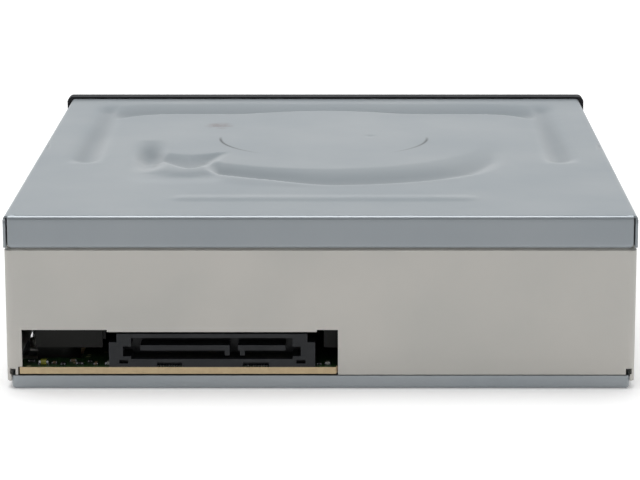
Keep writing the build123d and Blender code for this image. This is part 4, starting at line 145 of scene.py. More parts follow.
def newGroup(name, inputs, outputs):
    group = bpy.data.node_groups.new(name, "ShaderNodeTree")
    for label, kind, value in inputs:
        socket = group.interface.new_socket(label, in_out="INPUT", socket_type=kind)
        if value is not None:
            socket.default_value = value
    for label, kind in outputs:
        group.interface.new_socket(label, in_out="OUTPUT", socket_type=kind)
    return group, group.nodes.new("NodeGroupInput"), group.nodes.new("NodeGroupOutput")


def mathNode(tree, operation, first, second=None, clamp=False):
    node = tree.nodes.new("ShaderNodeMath")
    node.operation = operation
    node.use_clamp = clamp
    for place, value in enumerate((first, second)):
        if value is None:
            continue
        if isinstance(value, (int, float)):
            node.inputs[place].default_value = value
        else:
            tree.links.new(value, node.inputs[place])
    return node.outputs[0]


def mapRange(tree, value, fromLow, fromHigh, toLow=0.0, toHigh=1.0):
    node = tree.nodes.new("ShaderNodeMapRange")
    tree.links.new(value, node.inputs["Value"])
    for label, number in (("From Min", fromLow), ("From Max", fromHigh), ("To Min", toLow), ("To Max", toHigh)):
        if isinstance(number, (int, float)):
            node.inputs[label].default_value = number
        else:
            tree.links.new(number, node.inputs[label])
    return node.outputs[0]


def noiseNode(tree, vector, scale, detail=3.0, roughness=0.55):
    node = tree.nodes.new("ShaderNodeTexNoise")
    tree.links.new(vector, node.inputs["Vector"])
    if isinstance(scale, (int, float)):
        node.inputs["Scale"].default_value = scale
    else:
        tree.links.new(scale, node.inputs["Scale"])
    node.inputs["Detail"].default_value = detail
    node.inputs["Roughness"].default_value = roughness
    return node.outputs["Fac"]


def mixColour(tree, factor, first, second, blend="MIX"):
    node = tree.nodes.new("ShaderNodeMix")
    node.data_type = "RGBA"
    node.blend_type = blend
    for place, value in ((0, factor), (6, first), (7, second)):
        if isinstance(value, (int, float, tuple)):
            node.inputs[place].default_value = value
        else:
            tree.links.new(value, node.inputs[place])
    return node.outputs[2]


def vectorMath(tree, operation, *values):
    node = tree.nodes.new("ShaderNodeVectorMath")
    node.operation = operation
    for place, value in enumerate(values):
        if isinstance(value, tuple):
            node.inputs[place].default_value = value
        else:
            tree.links.new(value, node.inputs[place])
    return node.outputs["Value" if operation in ("LENGTH", "DOT_PRODUCT") else "Vector"]


def separate(tree, vector):
    node = tree.nodes.new("ShaderNodeSeparateXYZ")
    tree.links.new(vector, node.inputs[0])
    return node.outputs


def cellDistance(tree, vector, scale, randomness, distance="EUCLIDEAN"):
    node = tree.nodes.new("ShaderNodeTexVoronoi")
    node.distance = distance
    node.inputs["Scale"].default_value = scale
    node.inputs["Randomness"].default_value = randomness
    tree.links.new(vector, node.inputs["Vector"])
    return node.outputs["Distance"]


# Where noise, a turned normal and an upward face start and stop to count
patternLook = dict(
    fineDetail=4.0, blotchSpan=(0.35, 0.65), grainDetail=3.0, grainRough=0.6, wearTurn=(0.995, 0.85),
    wearPatchSize=260.0, wearPatches=(0.38, 0.6), dustUpward=(0.4, 1.0), dustCloudSize=70.0,
    dustDetail=5.0, dustClouds=(0.4, 0.75), dustColour=(150, 147, 140))


# Soft blotches of a second colour, and a value that roughness can share
def buildToneGroup():
    group, entry, leave = newGroup("softTone", [
        ("Coordinates", "NodeSocketVector", None), ("Size", "NodeSocketFloat", 40.0),
        ("Colour", "NodeSocketColor", (0.5, 0.5, 0.5, 1)),
        ("Second Colour", "NodeSocketColor", (0.4, 0.4, 0.4, 1)),
        ("Amount", "NodeSocketFloat", 0.5)], [("Colour", "NodeSocketColor"), ("Value", "NodeSocketFloat")])
    blotch = noiseNode(group, entry.outputs["Coordinates"], entry.outputs["Size"], patternLook["fineDetail"])
    share = mapRange(group, blotch, *patternLook["blotchSpan"])
    factor = mathNode(group, "MULTIPLY", share, entry.outputs["Amount"], clamp=True)
    colour = mixColour(group, factor, entry.outputs["Colour"], entry.outputs["Second Colour"])
    group.links.new(colour, leave.inputs["Colour"])
    group.links.new(share, leave.inputs["Value"])
    return group


# Grain or rolling lines as a bump; Stretch squeezes or draws out the pattern along an axis
def buildGrainGroup():
    group, entry, leave = newGroup("surfaceGrain", [
        ("Coordinates", "NodeSocketVector", None), ("Stretch", "NodeSocketVector", (1, 1, 1)),
        ("Size", "NodeSocketFloat", 900.0), ("Depth", "NodeSocketFloat", 0.00002)],
        [("Normal", "NodeSocketVector"), ("Value", "NodeSocketFloat")])
    stretched = vectorMath(group, "MULTIPLY", entry.outputs["Coordinates"], entry.outputs["Stretch"])
    grain = noiseNode(group, stretched, entry.outputs["Size"], patternLook["grainDetail"],
                      patternLook["grainRough"])
    bump = group.nodes.new("ShaderNodeBump")
    group.links.new(grain, bump.inputs["Height"])
    group.links.new(entry.outputs["Depth"], bump.inputs["Distance"])
    group.links.new(bump.outputs[0], leave.inputs["Normal"])
    group.links.new(grain, leave.inputs["Value"])
    return group


# Worn edges: where a bevelled normal leaves the surface's own, broken up by noise
def buildWearGroup():
    group, entry, leave = newGroup("edgeWear", [
        ("Coordinates", "NodeSocketVector", None), ("Width", "NodeSocketFloat", 0.0003),
        ("Amount", "NodeSocketFloat", 0.5)], [("Mask", "NodeSocketFloat")])
    bevel = group.nodes.new("ShaderNodeBevel")
    bevel.samples = 4
    group.links.new(entry.outputs["Width"], bevel.inputs["Radius"])
    normal = group.nodes.new("ShaderNodeNewGeometry").outputs["Normal"]
    alike = vectorMath(group, "DOT_PRODUCT", bevel.outputs[0], normal)
    edge = mapRange(group, alike, *patternLook["wearTurn"])
    noise = noiseNode(group, entry.outputs["Coordinates"], patternLook["wearPatchSize"],
                      patternLook["fineDetail"])
    patches = mapRange(group, noise, *patternLook["wearPatches"])
    worn = mathNode(group, "MULTIPLY", edge, patches)
    mask = mathNode(group, "MULTIPLY", worn, entry.outputs["Amount"], clamp=True)
    group.links.new(mask, leave.inputs["Mask"])
    return group


# Thin dust on faces that look up
def buildDustGroup():
    group, entry, leave = newGroup("settledDust", [
        ("Coordinates", "NodeSocketVector", None), ("Amount", "NodeSocketFloat", 0.2)],
        [("Mask", "NodeSocketFloat")])
    normal = group.nodes.new("ShaderNodeNewGeometry").outputs["Normal"]
    upward = mapRange(group, separate(group, normal)["Z"], *patternLook["dustUpward"])
    noise = noiseNode(group, entry.outputs["Coordinates"], patternLook["dustCloudSize"],
                      patternLook["dustDetail"])
    clouds = mapRange(group, noise, *patternLook["dustClouds"])
    dusty = mathNode(group, "MULTIPLY", upward, clouds)
    mask = mathNode(group, "MULTIPLY", dusty, entry.outputs["Amount"], clamp=True)
    group.links.new(mask, leave.inputs["Mask"])
    return group


toneGroup, grainGroup = buildToneGroup(), buildGrainGroup()
wearGroup, dustGroup = buildWearGroup(), buildDustGroup()


def placeGroup(tree, group, **values):
    node = tree.nodes.new("ShaderNodeGroup")
    node.node_tree = group
    for label, value in values.items():
        socket = node.inputs[label.replace("_", " ")]
        if isinstance(value, bpy.types.NodeSocket):
            tree.links.new(value, socket)
        else:
            socket.default_value = value
    return node


# Screen colour of 0 to 255 as the linear one that shaders take
def rgba(*levels):
    return tuple(((level / 255 + 0.055) / 1.055) ** 2.4 if level > 10 else level / 255 / 12.92
                 for level in levels) + (1,)


# A finish from one dictionary: colour, second colour, blotch size, gloss, grain, wear and dust
def makeFinish(name, look):
    material = bpy.data.materials.new(name)
    material.use_nodes = True
    tree = material.node_tree
    shader = tree.nodes["Principled BSDF"]
    coordinates = tree.nodes.new("ShaderNodeTexCoord").outputs["Object"]
    tone = placeGroup(tree, toneGroup, Coordinates=coordinates, Size=look["blotchSize"],
                      Colour=rgba(*look["colour"]), Second_Colour=rgba(*look["second"]),
                      Amount=look["blotches"])
    colour = tone.outputs["Colour"]
    if look.get("wear"):
        wear = placeGroup(tree, wearGroup, Coordinates=coordinates, Width=look.get("wearWidth", 0.00025),
                          Amount=look["wear"])
        colour = mixColour(tree, wear.outputs["Mask"], colour, rgba(*look["wearColour"]))
    if look.get("dust"):
        dust = placeGroup(tree, dustGroup, Coordinates=coordinates, Amount=look["dust"])
        colour = mixColour(tree, dust.outputs["Mask"], colour, rgba(*patternLook["dustColour"]))
    tree.links.new(colour, shader.inputs["Base Color"])
    grain = placeGroup(tree, grainGroup, Coordinates=coordinates, Stretch=look.get("stretch", (1, 1, 1)),
                       Size=look["grainSize"], Depth=look["grainDepth"])
    tree.links.new(grain.outputs["Normal"], shader.inputs["Normal"])
    rough = mapRange(tree, tone.outputs["Value"], 0.0, 1.0, look["rough"] - look["roughSpread"],
                     look["rough"] + look["roughSpread"])
    tree.links.new(rough, shader.inputs["Roughness"])
    shader.inputs["Metallic"].default_value = look.get("metal", 0.0)
    shader.inputs["Coat Weight"].default_value = look.get("coat", 0.0)
    shader.inputs["Coat Roughness"].default_value = 0.15
    shader.inputs["IOR"].default_value = look.get("ior", 1.5)
    shader.inputs["Specular IOR Level"].default_value = look.get("specular", 0.5)
    return material, tree, shader, coordinates, colour


finishLooks = {
    "lid_steel": dict(colour=(163, 169, 173), second=(156, 164, 170), blotchSize=28, blotches=0.6, rough=0.32,
                      roughSpread=0.02, metal=0.35, grainSize=1500, grainDepth=0.000003, stretch=(1, 0.12, 1),
                      wear=0.5, wearColour=(214, 217, 219)),
    "chassis_steel": dict(colour=(202, 199, 193), second=(196, 195, 190), blotchSize=34, blotches=0.7,
                          rough=0.5, roughSpread=0.03, metal=0.35, grainSize=1300, grainDepth=0.000003,
                          stretch=(0.12, 1, 1), wear=0.4, wearColour=(222, 220, 214)),
    "screw_steel": dict(colour=(184, 186, 188), second=(150, 152, 158), blotchSize=300, blotches=0.6,
                        rough=0.28, roughSpread=0.06, metal=1.0, grainSize=3000, grainDepth=0.000004, wear=0.6,
                        wearColour=(225, 226, 228)),
    "rod_steel": dict(colour=(205, 207, 210), second=(188, 190, 194), blotchSize=120, blotches=0.4, rough=0.13,
                      roughSpread=0.03, metal=1.0, grainSize=2600, grainDepth=0.000002, stretch=(1, 0.04, 1)),
    "black_plastic": dict(colour=(34, 34, 37), second=(27, 27, 30), blotchSize=60, blotches=0.5, rough=0.5,
                          roughSpread=0.04, grainSize=2400, grainDepth=0.00003, wear=0.35,
                          wearColour=(74, 74, 78), dust=0.03, specular=0.25),
    "loader_plastic": dict(colour=(27, 27, 24), second=(22, 22, 20), blotchSize=45, blotches=0.6, rough=0.46,
                           roughSpread=0.05, grainSize=1600, grainDepth=0.00002, wear=0.3,
                           wearColour=(62, 62, 58), dust=0.1, specular=0.2),
    "gear_plastic": dict(colour=(228, 224, 210), second=(214, 208, 190), blotchSize=150, blotches=0.5,
                         rough=0.34, roughSpread=0.05, grainSize=2000, grainDepth=0.000012, coat=0.1),
    "socket_plastic": dict(colour=(35, 37, 40), second=(29, 31, 34), blotchSize=240, blotches=0.6, rough=0.42,
                           roughSpread=0.05, grainSize=4200, grainDepth=0.00001, wear=0.4,
                           wearColour=(84, 86, 92), specular=0.3),
    "chip_epoxy": dict(colour=(46, 46, 48), second=(38, 38, 41), blotchSize=200, blotches=0.5, rough=0.6,
                       roughSpread=0.05, grainSize=5200, grainDepth=0.00002, wear=0.3, wearColour=(84, 84, 86)),
    "contact_metal": dict(colour=(214, 178, 96), second=(196, 156, 82), blotchSize=500, blotches=0.6,
                          rough=0.24, roughSpread=0.05, metal=1.0, grainSize=5000, grainDepth=0.000004),
    "motor_steel": dict(colour=(176, 178, 180), second=(156, 158, 162), blotchSize=90, blotches=0.6, rough=0.32,
                        roughSpread=0.06, metal=1.0, grainSize=1600, grainDepth=0.000006, stretch=(1, 1, 0.08),
                        wear=0.4, wearColour=(214, 215, 217)),
    "damper_rubber": dict(colour=(42, 42, 44), second=(34, 34, 36), blotchSize=160, blotches=0.6, rough=0.72,
                          roughSpread=0.06, grainSize=2600, grainDepth=0.00003),
    "pad_rubber": dict(colour=(88, 90, 94), second=(76, 78, 82), blotchSize=160, blotches=0.6, rough=0.66,
                       roughSpread=0.06, grainSize=2600, grainDepth=0.00002),
    "sled_metal": dict(colour=(158, 160, 164), second=(140, 142, 148), blotchSize=110, blotches=0.7, rough=0.4,
                       roughSpread=0.06, metal=0.9, grainSize=1500, grainDepth=0.00002, wear=0.5,
                       wearColour=(206, 208, 211)),
    "magnet_alloy": dict(colour=(132, 132, 136), second=(112, 112, 118), blotchSize=200, blotches=0.6,
                         rough=0.3, roughSpread=0.06, metal=1.0, grainSize=2600, grainDepth=0.00001, wear=0.4,
                         wearColour=(190, 190, 192)),
}
finishes = {name: makeFinish(name, look) for name, look in finishLooks.items()}


lidMarks = dict(
    # painted shade: a dark spot standing for the shadow in the dip beside the plateau's left step
    paintedShadeSpotAt=(0.0285, -0.0352, 0.041), paintedShadeSpotSqueeze=(230, 170, 60), paintedShadeSpotFade=(1.0, 0.35),
    paintedShadeSpotNoise=420.0, paintedShadeSpotBreaks=(0.35, 0.6), paintedShadeSpot=0.8, paintedShadeSpotColour=(132, 122, 124),
    # painted shade: the flanges coloured darker than the top, as less light falls on them
    flangeTop=(0.0408, 0.0402), flangeLow=(0.02, 0.03), flangePaintedShade=0.4, flangePaintedShadeColour=(134, 140, 145),
    # painted shade: a dark line standing for the shadow in the scribed ring's step
    ringMiddle=(0.0, 0.0165, 0.0), ringRadius=0.0274, ringEdge=(0.00055, 0.0001), ringShift=0.001,
    ringSides=(0.0165, 0.0262), ringPaintedShadeDepth=0.85, ringRear=(-0.002, 0.003), ringTop=(0.03, 0.038),
    ringPaintedShadeColour=(52, 57, 60))


# Lid: painted shade, as a dark spot in the dip beside the plateau and on the drops round its edge, which are
# darker and duller than the top
def finishLid():
    material, tree, shader, coordinates, colour = finishes["lid_steel"]
    m = lidMarks
    # painted shade spot: a dark patch, broken by noise, where the dip beside the plateau lies in shadow
    offset = vectorMath(tree, "SUBTRACT", coordinates, m["paintedShadeSpotAt"])
    away = vectorMath(tree, "LENGTH", vectorMath(tree, "MULTIPLY", offset, m["paintedShadeSpotSqueeze"]))
    noise = noiseNode(tree, coordinates, m["paintedShadeSpotNoise"], patternLook["fineDetail"])
    broken = mathNode(tree, "MULTIPLY", mapRange(tree, noise, *m["paintedShadeSpotBreaks"]), m["paintedShadeSpot"])
    paintedShadeSpot = mathNode(tree, "MULTIPLY", mapRange(tree, away, *m["paintedShadeSpotFade"]), broken)
    withPaintedShade = mixColour(tree, paintedShadeSpot, colour, rgba(*m["paintedShadeSpotColour"]))
    height = separate(tree, coordinates)["Z"]
    # painted shade on the drops round the edge, darker than the top because their upright faces get less light
    drops = mapRange(tree, height, *m["flangeTop"], 0.0, m["flangePaintedShade"])
    flangePaintedShade = mathNode(tree, "MULTIPLY", drops, mapRange(tree, height, *m["flangeLow"]))
    withPaintedShade = mixColour(tree, flangePaintedShade, withPaintedShade, rgba(*m["flangePaintedShadeColour"]))
    # painted shade of a scribed ring's step: a dark line at both sides of its rear half and faint between
    centred = vectorMath(tree, "MULTIPLY_ADD", coordinates, (1, 1, 0), m["ringMiddle"])
    fromRing = mathNode(tree, "SUBTRACT", vectorMath(tree, "LENGTH", centred), m["ringRadius"])
    ring = mapRange(tree, mathNode(tree, "ABSOLUTE", fromRing), *m["ringEdge"])
    parts = separate(tree, centred)
    aside = mathNode(tree, "ABSOLUTE", mathNode(tree, "ADD", parts["X"], m["ringShift"]))
    shares = [mapRange(tree, aside, *m["ringSides"], 0.0, m["ringPaintedShadeDepth"]),
              mapRange(tree, parts["Y"], *m["ringRear"]), mapRange(tree, height, *m["ringTop"])]
    for share in shares:
        ring = mathNode(tree, "MULTIPLY", ring, share)
    tree.links.new(mixColour(tree, ring, withPaintedShade, rgba(*m["ringPaintedShadeColour"])), shader.inputs["Base Color"])


finishLid()


boardLook = dict(
    colour=(42, 72, 40), second=(34, 60, 36), blotchSize=50, blotches=0.6, rough=0.34, roughSpread=0.05,
    grainSize=1400, grainDepth=0.00001, traceScale=420, traceSpread=0.55, traceAt=0.42,
    traceEdge=(0.05, 0.02), traceShare=0.5, traceColour=(78, 112, 62), padScale=240, padSpread=0.8,
    padEdge=(0.16, 0.12), padColour=(176, 170, 140), cutSlope=(0.6, 0.4), tan=(237, 215, 173),
    tanSecond=(208, 182, 142), tanSize=900.0, layerScale=900, layerBend=2.0, layerShare=0.22,
    layerColour=(166, 142, 104), maskRough=0.32, cutRough=0.3)


# Board: green mask with traces and round pads on its faces, tan laminate on its cut edges
def finishBoard():
    look = boardLook
    material, tree, shader, coordinates, colour = makeFinish("board_laminate", look)
    traces = cellDistance(tree, coordinates, look["traceScale"], look["traceSpread"], "CHEBYCHEV")
    fromTrace = mathNode(tree, "ABSOLUTE", mathNode(tree, "SUBTRACT", traces, look["traceAt"]))
    line = mathNode(tree, "MULTIPLY", mapRange(tree, fromTrace, *look["traceEdge"]), look["traceShare"])
    pads = cellDistance(tree, coordinates, look["padScale"], look["padSpread"])
    withLines = mixColour(tree, line, colour, rgba(*look["traceColour"]))
    withPads = mixColour(tree, mapRange(tree, pads, *look["padEdge"]), withLines, rgba(*look["padColour"]))
    normal = tree.nodes.new("ShaderNodeNewGeometry").outputs["Normal"]
    cut = mapRange(tree, mathNode(tree, "ABSOLUTE", separate(tree, normal)["Z"]), *look["cutSlope"])
    layers = tree.nodes.new("ShaderNodeTexWave")
    layers.bands_direction = "Z"
    layers.inputs["Scale"].default_value = look["layerScale"]
    layers.inputs["Distortion"].default_value = look["layerBend"]
    tree.links.new(coordinates, layers.inputs["Vector"])
    weave = noiseNode(tree, coordinates, look["tanSize"], patternLook["fineDetail"])
    tan = mixColour(tree, weave, rgba(*look["tan"]), rgba(*look["tanSecond"]))
    layered = mathNode(tree, "MULTIPLY", layers.outputs["Fac"], look["layerShare"])
    laminate = mixColour(tree, layered, tan, rgba(*look["layerColour"]))
    tree.links.new(mixColour(tree, cut, withPads, laminate), shader.inputs["Base Color"])
    rough = mathNode(tree, "ADD", mathNode(tree, "MULTIPLY", cut, look["cutRough"]), look["maskRough"])
    tree.links.new(rough, shader.inputs["Roughness"])
    return material


boardFinish = finishBoard()


clearLook = dict(blotchSize=300.0, blotches=0.5, second=0.93, grainSize=1200.0, grainDepth=0.000002,
                 clear=0.9, coat=0.6, coatRough=0.05)


# Clear pieces: a plain glass body with a faint noise in its bump
def finishClear(name, colour, roughness, ior):
    material = bpy.data.materials.new(name)
    material.use_nodes = True
    tree = material.node_tree
    shader = tree.nodes["Principled BSDF"]
    coordinates = tree.nodes.new("ShaderNodeTexCoord").outputs["Object"]
    look = clearLook
    second = rgba(*[int(level * look["second"]) for level in colour])
    tone = placeGroup(tree, toneGroup, Coordinates=coordinates, Size=look["blotchSize"], Colour=rgba(*colour),
                      Second_Colour=second, Amount=look["blotches"])
    tree.links.new(tone.outputs["Colour"], shader.inputs["Base Color"])
    grain = placeGroup(tree, grainGroup, Coordinates=coordinates, Size=look["grainSize"],
                       Depth=look["grainDepth"])
    tree.links.new(grain.outputs["Normal"], shader.inputs["Normal"])
    shader.inputs["Roughness"].default_value = roughness
    shader.inputs["IOR"].default_value = ior
    shader.inputs["Transmission Weight"].default_value = look["clear"]
    shader.inputs["Coat Weight"].default_value = look["coat"]
    shader.inputs["Coat Roughness"].default_value = look["coatRough"]
    return material


lampFinish = finishClear("lamp_plastic", (214, 224, 208), 0.12, 1.49)
lensFinish = finishClear("lens_glass", (150, 166, 226), 0.03, 1.58)

nodeSlots = {
    "lid_steel": ["top_cover", "bottom_cover"],
    "chassis_steel": ["chassis_frame"],
    "screw_steel": ["cover_screws", "board_screws", "damper_screws", "motor_shaft"],
    "rod_steel": ["guide_rods", "lead_screw"],
    "black_plastic": ["bezel", "tray_door", "eject_button", "disc_tray"],
    "loader_plastic": ["loader_frame", "lift_frame", "rod_clamps", "clamp_bridge"],
    "gear_plastic": ["drive_gear", "pulley_gear", "motor_pulley", "cam_slider", "sled_nut", "clamp_puck",
                     "turntable", "cable_sockets"],
    "socket_plastic": ["sata_socket"],
    "chip_epoxy": ["controller_chip", "driver_chip", "memory_chip", "eject_switch"],
    "contact_metal": ["power_contacts", "signal_contacts"],
    "motor_steel": ["loading_motor", "sled_motor", "spindle_rotor", "spindle_stator", "screw_bracket",
                    "traverse_plate", "board_capacitors"],
    "damper_rubber": ["dampers", "drive_belt"],
    "pad_rubber": ["turntable_pad"],
    "sled_metal": ["pickup_sled", "lens_holder"],
    "magnet_alloy": ["lens_magnets", "clamp_magnet", "magnet_plate", "lens_yoke"],
}


def dressNodes():
    for slotName, names in nodeSlots.items():
        for name in names:
            nodes[name].data.materials.clear()
            nodes[name].data.materials.append(finishes[slotName][0])
    others = {"main_board": boardFinish, "switch_board": boardFinish, "lamp_guide": lampFinish,
              "status_led": lampFinish, "objective_lens": lensFinish,
              "board_passives": finishes["chip_epoxy"][0]}
    for name, finish in others.items():
        nodes[name].data.materials.clear()
        nodes[name].data.materials.append(finish)
    print("finishes on", sum(len(names) for names in nodeSlots.values()) + len(others), "nodes")


dressNodes()


# Lid

lidShape = dict(
    halfWidth=73.0, frontY=-79.9, rearY=85.0, topZ=41.0, flangeZ=33.6, sheet=0.6, bend=0.9, slit=0.02,
    rearHalf=72.0, cornerRound=0.9, discY=-16.5,
    # trough, its end towards the lobe and its raised lip
    drop=1.2, wallWidth=5.2, plateau=43.4, floorInset=3.0, easedLead=1, easedInset=6.0,
    crestAngles=[0, 14, 30, 40, 52, 67, 88, 94, 102, 118, 180],
    crestRadii=[49.0, 50.0, 55.0, 60.0, 65.0, 66.2, 66.2, 64.6, 61.2, 58.6, 58.0],
    troughEnd=[(30.6, 24.2), (26.4, 46.0)], endSlant=0.96, endEase=4.6, fade=(0.0, 76.0),
    lobeSide=(88, 100), lipRise=0.07, lobeLipRise=0.38, lipShare=0.7, lipWidth=3.4, lipEnd=68.6,
    lipSpan=(44, 66),
    # channel: its front band, bitten by the plateau, and a leg at either side
    channelHalf=55.0, channelY=-53.0, channelCorner=9.0, bandDrop=1.2, bandFloor=3.0, bandWidth=18.5,
    bandStraight=0.8, bandAhead=(0.05, 0.6), bandWall=5.2, cornerWall=2.6, bite=(-0.5, 2.4),
    bandSide=(56.0, 63.5), legX=60.5, legHalf=5.2, legDrop=1.35, legFront=(-72, -58), legRear=(20.5, 11.5),
    legLeast=0.55, legFall=(-46, 14),
    # lobe: basin between an inner line and a ridge, a long hollow beside it, and a slope outside
    lobeInner=[(46.0, -3.0), (42.4, 2.6), (38.0, 6.6), (33.5, 8.2), (28.5, 6.0), (23.0, 3.0)],
    lobeRidge=[(23.0, 3.0), (24.6, 10.0), (26.6, 18.0), (28.9, 24.2), (31.2, 27.4), (33.9, 28.7),
               (37.4, 25.4), (41.0, 19.5), (44.6, 13.0), (47.0, 5.0), (46.0, -3.0)],
    basinDrop=0.8, basinEase=(-0.1, 0.8), basinWall=3.4,
    hollowX=44.6, hollowSlant=0.04, hollowMiddleY=3, hollowHalf=5.4, hollowDrop=1.9, hollowFall=(-13, 13),
    hollowRear=(13, 32), hollowKeep=0.3,
    ridgeRise=0.31, ridgeLeft=(23.5, 28.0), ridgeSlant=0.1, ridgeMiddleY=25, ridgeRight=(45, 51),
    ridgeFront=(8, 18), ridgeInside=2.6, ridgeOutside=10.0,
    slopeDrop=0.22, slopeNear=(3, 10), slopeFar=(11, 22), slopeRear=(38, 50),
    # bead across the rear, and a small dimple
    beadY=64.0, beadLeftX=37.0, beadRightX=-38.5, beadHalf=5.0, beadRise=0.18,
    dimpleX=-12.3, dimpleY=-19.4, dimpleWidth=0.7, dimpleLength=1.1, dimpleDrop=0.24)

# grid lines across and along the top, and radii about the disc between which they are drawn together
lidGrid = dict(
    across=184, along=202, closeX=[(-62, 5, 0.8), (62, 5, 0.8), (32, 14, 0.9), (0, 40, 0.15)],
    closeY=[(64.0, 3.2, 4.0), (-56, 3, 1.4), (-76, 2, 0.6), (48, 5, 0.8), (20, 12, 0.5)],
    innerRadius=58, outerRadius=74, innerSteps=800, outerSteps=400, innerSpot=(45.4, 4.0, 0.6),
    outerSpot=(64.4, 2.6, 2.2), outerRear=(8, 24), bendSteps=7, dropSteps=8, sideDropSteps=7,
    cornerInsets=[0.0, 0.15, 0.35, 0.6, 0.9, 1.3], rearMargin=0.2, cornerMargin=0.3,
    sideEnds=[0.02, 0.3, 0.6])


# Wall that climbs out of a pressing, as a square of the distance: steep at its foot, easing into the crest
def pressedWall(distance, width):
    return np.clip(distance / width, 0, 1) ** 2


# Horseshoe trough: its crest line draws in at both ends, with a raised lip on the lobe's side
def troughRelief(x, y, radius, s):
    angle = np.degrees(np.arctan2(y - s["discY"], -x))
    crest = np.interp(angle, s["crestAngles"], s["crestRadii"])
    fromCrest = crest - radius
    (endX, endY), (farX, farY) = s["troughEnd"]
    past = (x - endX - (farX - endX) * (y - endY) / (farY - endY)) * s["endSlant"]
    reach = easeStep(0.0, s["endEase"], -past)
    fade = easeStep(*s["fade"], angle) * (y > s["discY"])
    floor = 0.5 * softRamp(s["plateau"], crest - s["floorInset"], radius)
    floor += 0.5 * easeStep(s["plateau"] - s["easedLead"], crest - s["easedInset"], radius)
    height = -s["drop"] * floor * pressedWall(fromCrest, s["wallWidth"]) * reach * fade
    lobeSide = easeStep(*s["lobeSide"], angle)
    outerWidth = s["lipWidth"] + (s["lipEnd"] - crest - s["lipWidth"]) * lobeSide
    lip = np.where(fromCrest > 0, 1 - easeStep(0.0, s["wallWidth"] * s["lipShare"], fromCrest),
                   1 - easeStep(0.0, 1.0, -fromCrest / outerWidth))
    rise = s["lipRise"] + s["lobeLipRise"] * lobeSide
    return height + rise * lip * reach * easeStep(*s["lipSpan"], angle)


# U channel round the front: distance to its inner outline, with a rounded corner
def channelDepth(x, y, radius, s):
    pastX = np.abs(x) - (s["channelHalf"] - s["channelCorner"])
    pastY = s["channelY"] + s["channelCorner"] - y
    apart = np.hypot(np.maximum(pastX, 0), np.maximum(pastY, 0)) + np.minimum(np.maximum(pastX, pastY), 0)
    apart -= s["channelCorner"]
    slope = 1 - softRamp(s["bandFloor"], s["bandWidth"], apart, s["bandStraight"])
    ahead = np.maximum(pastY, 0) / (np.maximum(pastX, 0) + np.maximum(pastY, 0) + tiny)
    wall = np.where(np.abs(x) < s["channelHalf"] - s["channelCorner"], s["bandWall"], s["cornerWall"])
    band = np.where(apart > 0, slope * pressedWall(apart, wall), 0) * easeStep(*s["bandAhead"], ahead)
    band *= easeStep(s["plateau"] + s["bite"][0], s["plateau"] + s["bite"][1], radius)
    band *= 1 - easeStep(*s["bandSide"], np.abs(x))
    leg = cosineBump(np.abs(np.abs(x) - s["legX"]), s["legHalf"])
    leg *= easeStep(*s["legFront"], y) * easeStep(*s["legRear"], y)
    leg *= s["legLeast"] + (1 - s["legLeast"]) * softRamp(*s["legFall"], y)
    return np.maximum(s["bandDrop"] * band, s["legDrop"] * leg)


# Lobe: its floor falls from the inner line to the ridge, and the ridge slopes away outside
def pressLobe(height, x, y, s):
    inside = insideChain(x, y, s["lobeInner"] + s["lobeRidge"][1:-1])
    fromInner, fromRidge = chainDistance(x, y, s["lobeInner"]), chainDistance(x, y, s["lobeRidge"])
    share = fromInner / (fromInner + fromRidge + tiny)
    basin = easeStep(*s["basinEase"], share) * pressedWall(fromRidge, s["basinWall"])
    height = height - s["basinDrop"] * np.where(inside, basin, 0)
    fromHollow = np.abs(x - s["hollowX"] + s["hollowSlant"] * (y - s["hollowMiddleY"]))
    hollow = cosineBump(fromHollow, s["hollowHalf"]) * softRamp(*s["hollowFall"], y)
    hollow *= 1 - easeStep(*s["hollowRear"], y)
    height = np.minimum(height, height * s["hollowKeep"] - s["hollowDrop"] * hollow)
    span = easeStep(*s["ridgeLeft"], x + s["ridgeSlant"] * (y - s["ridgeMiddleY"]))
    span *= (1 - easeStep(*s["ridgeRight"], x)) * easeStep(*s["ridgeFront"], y)
    outward = 1 - easeStep(0.0, np.where(inside, s["ridgeInside"], s["ridgeOutside"]), fromRidge)
    slope = easeStep(*s["slopeNear"], fromRidge) * (1 - easeStep(*s["slopeFar"], fromRidge))
    slope *= 1 - easeStep(*s["slopeRear"], y)
    return height + (s["ridgeRise"] * outward - np.where(inside, 0, s["slopeDrop"] * slope)) * span


# Height of the lid's top against its flat level, from X and Y
def lidRelief(x, y, s):
    radius = np.hypot(x, y - s["discY"])
    height = pressLobe(troughRelief(x, y, radius, s) - channelDepth(x, y, radius, s), x, y, s)
    along = np.clip(x, s["beadRightX"] + s["beadHalf"], s["beadLeftX"] - s["beadHalf"])
    height += s["beadRise"] * cosineBump(np.hypot(x - along, y - s["beadY"]), s["beadHalf"])
    fromDimple = ((x - s["dimpleX"]) / s["dimpleWidth"]) ** 2 + ((y - s["dimpleY"]) / s["dimpleLength"]) ** 2
    return height - s["dimpleDrop"] * np.exp(-fromDimple)


# The top's grid, its lines drawn towards the trough's edge and its wall
def buildTop(acrossX, alongY, s):
    g = lidGrid
    x, y = np.meshgrid(acrossX, alongY, indexing="ij")
    radius = np.hypot(x, y - s["discY"]) + 1e-9
    inner, outer = g["innerRadius"], g["outerRadius"]
    closer = unevenSteps(0, inner, g["innerSteps"], [g["innerSpot"]])
    drawn = np.interp(radius, np.linspace(0, inner, g["innerSteps"]), closer)
    newRadius = np.where(radius < inner, drawn, radius)
    outerCloser = unevenSteps(inner, outer, g["outerSteps"], [g["outerSpot"]])
    drawn = np.interp(radius, np.linspace(inner, outer, g["outerSteps"]), outerCloser)
    between = (radius >= inner) & (radius < outer)
    rearShare = easeStep(*g["outerRear"], y - s["discY"])
    newRadius = np.where(between, radius + (drawn - radius) * rearShare, newRadius)
    x = x * newRadius / radius
    y = s["discY"] + (y - s["discY"]) * newRadius / radius
    return np.stack([x, y, s["topZ"] + lidRelief(x, y, s)], -1), gridQuads(*x.shape)


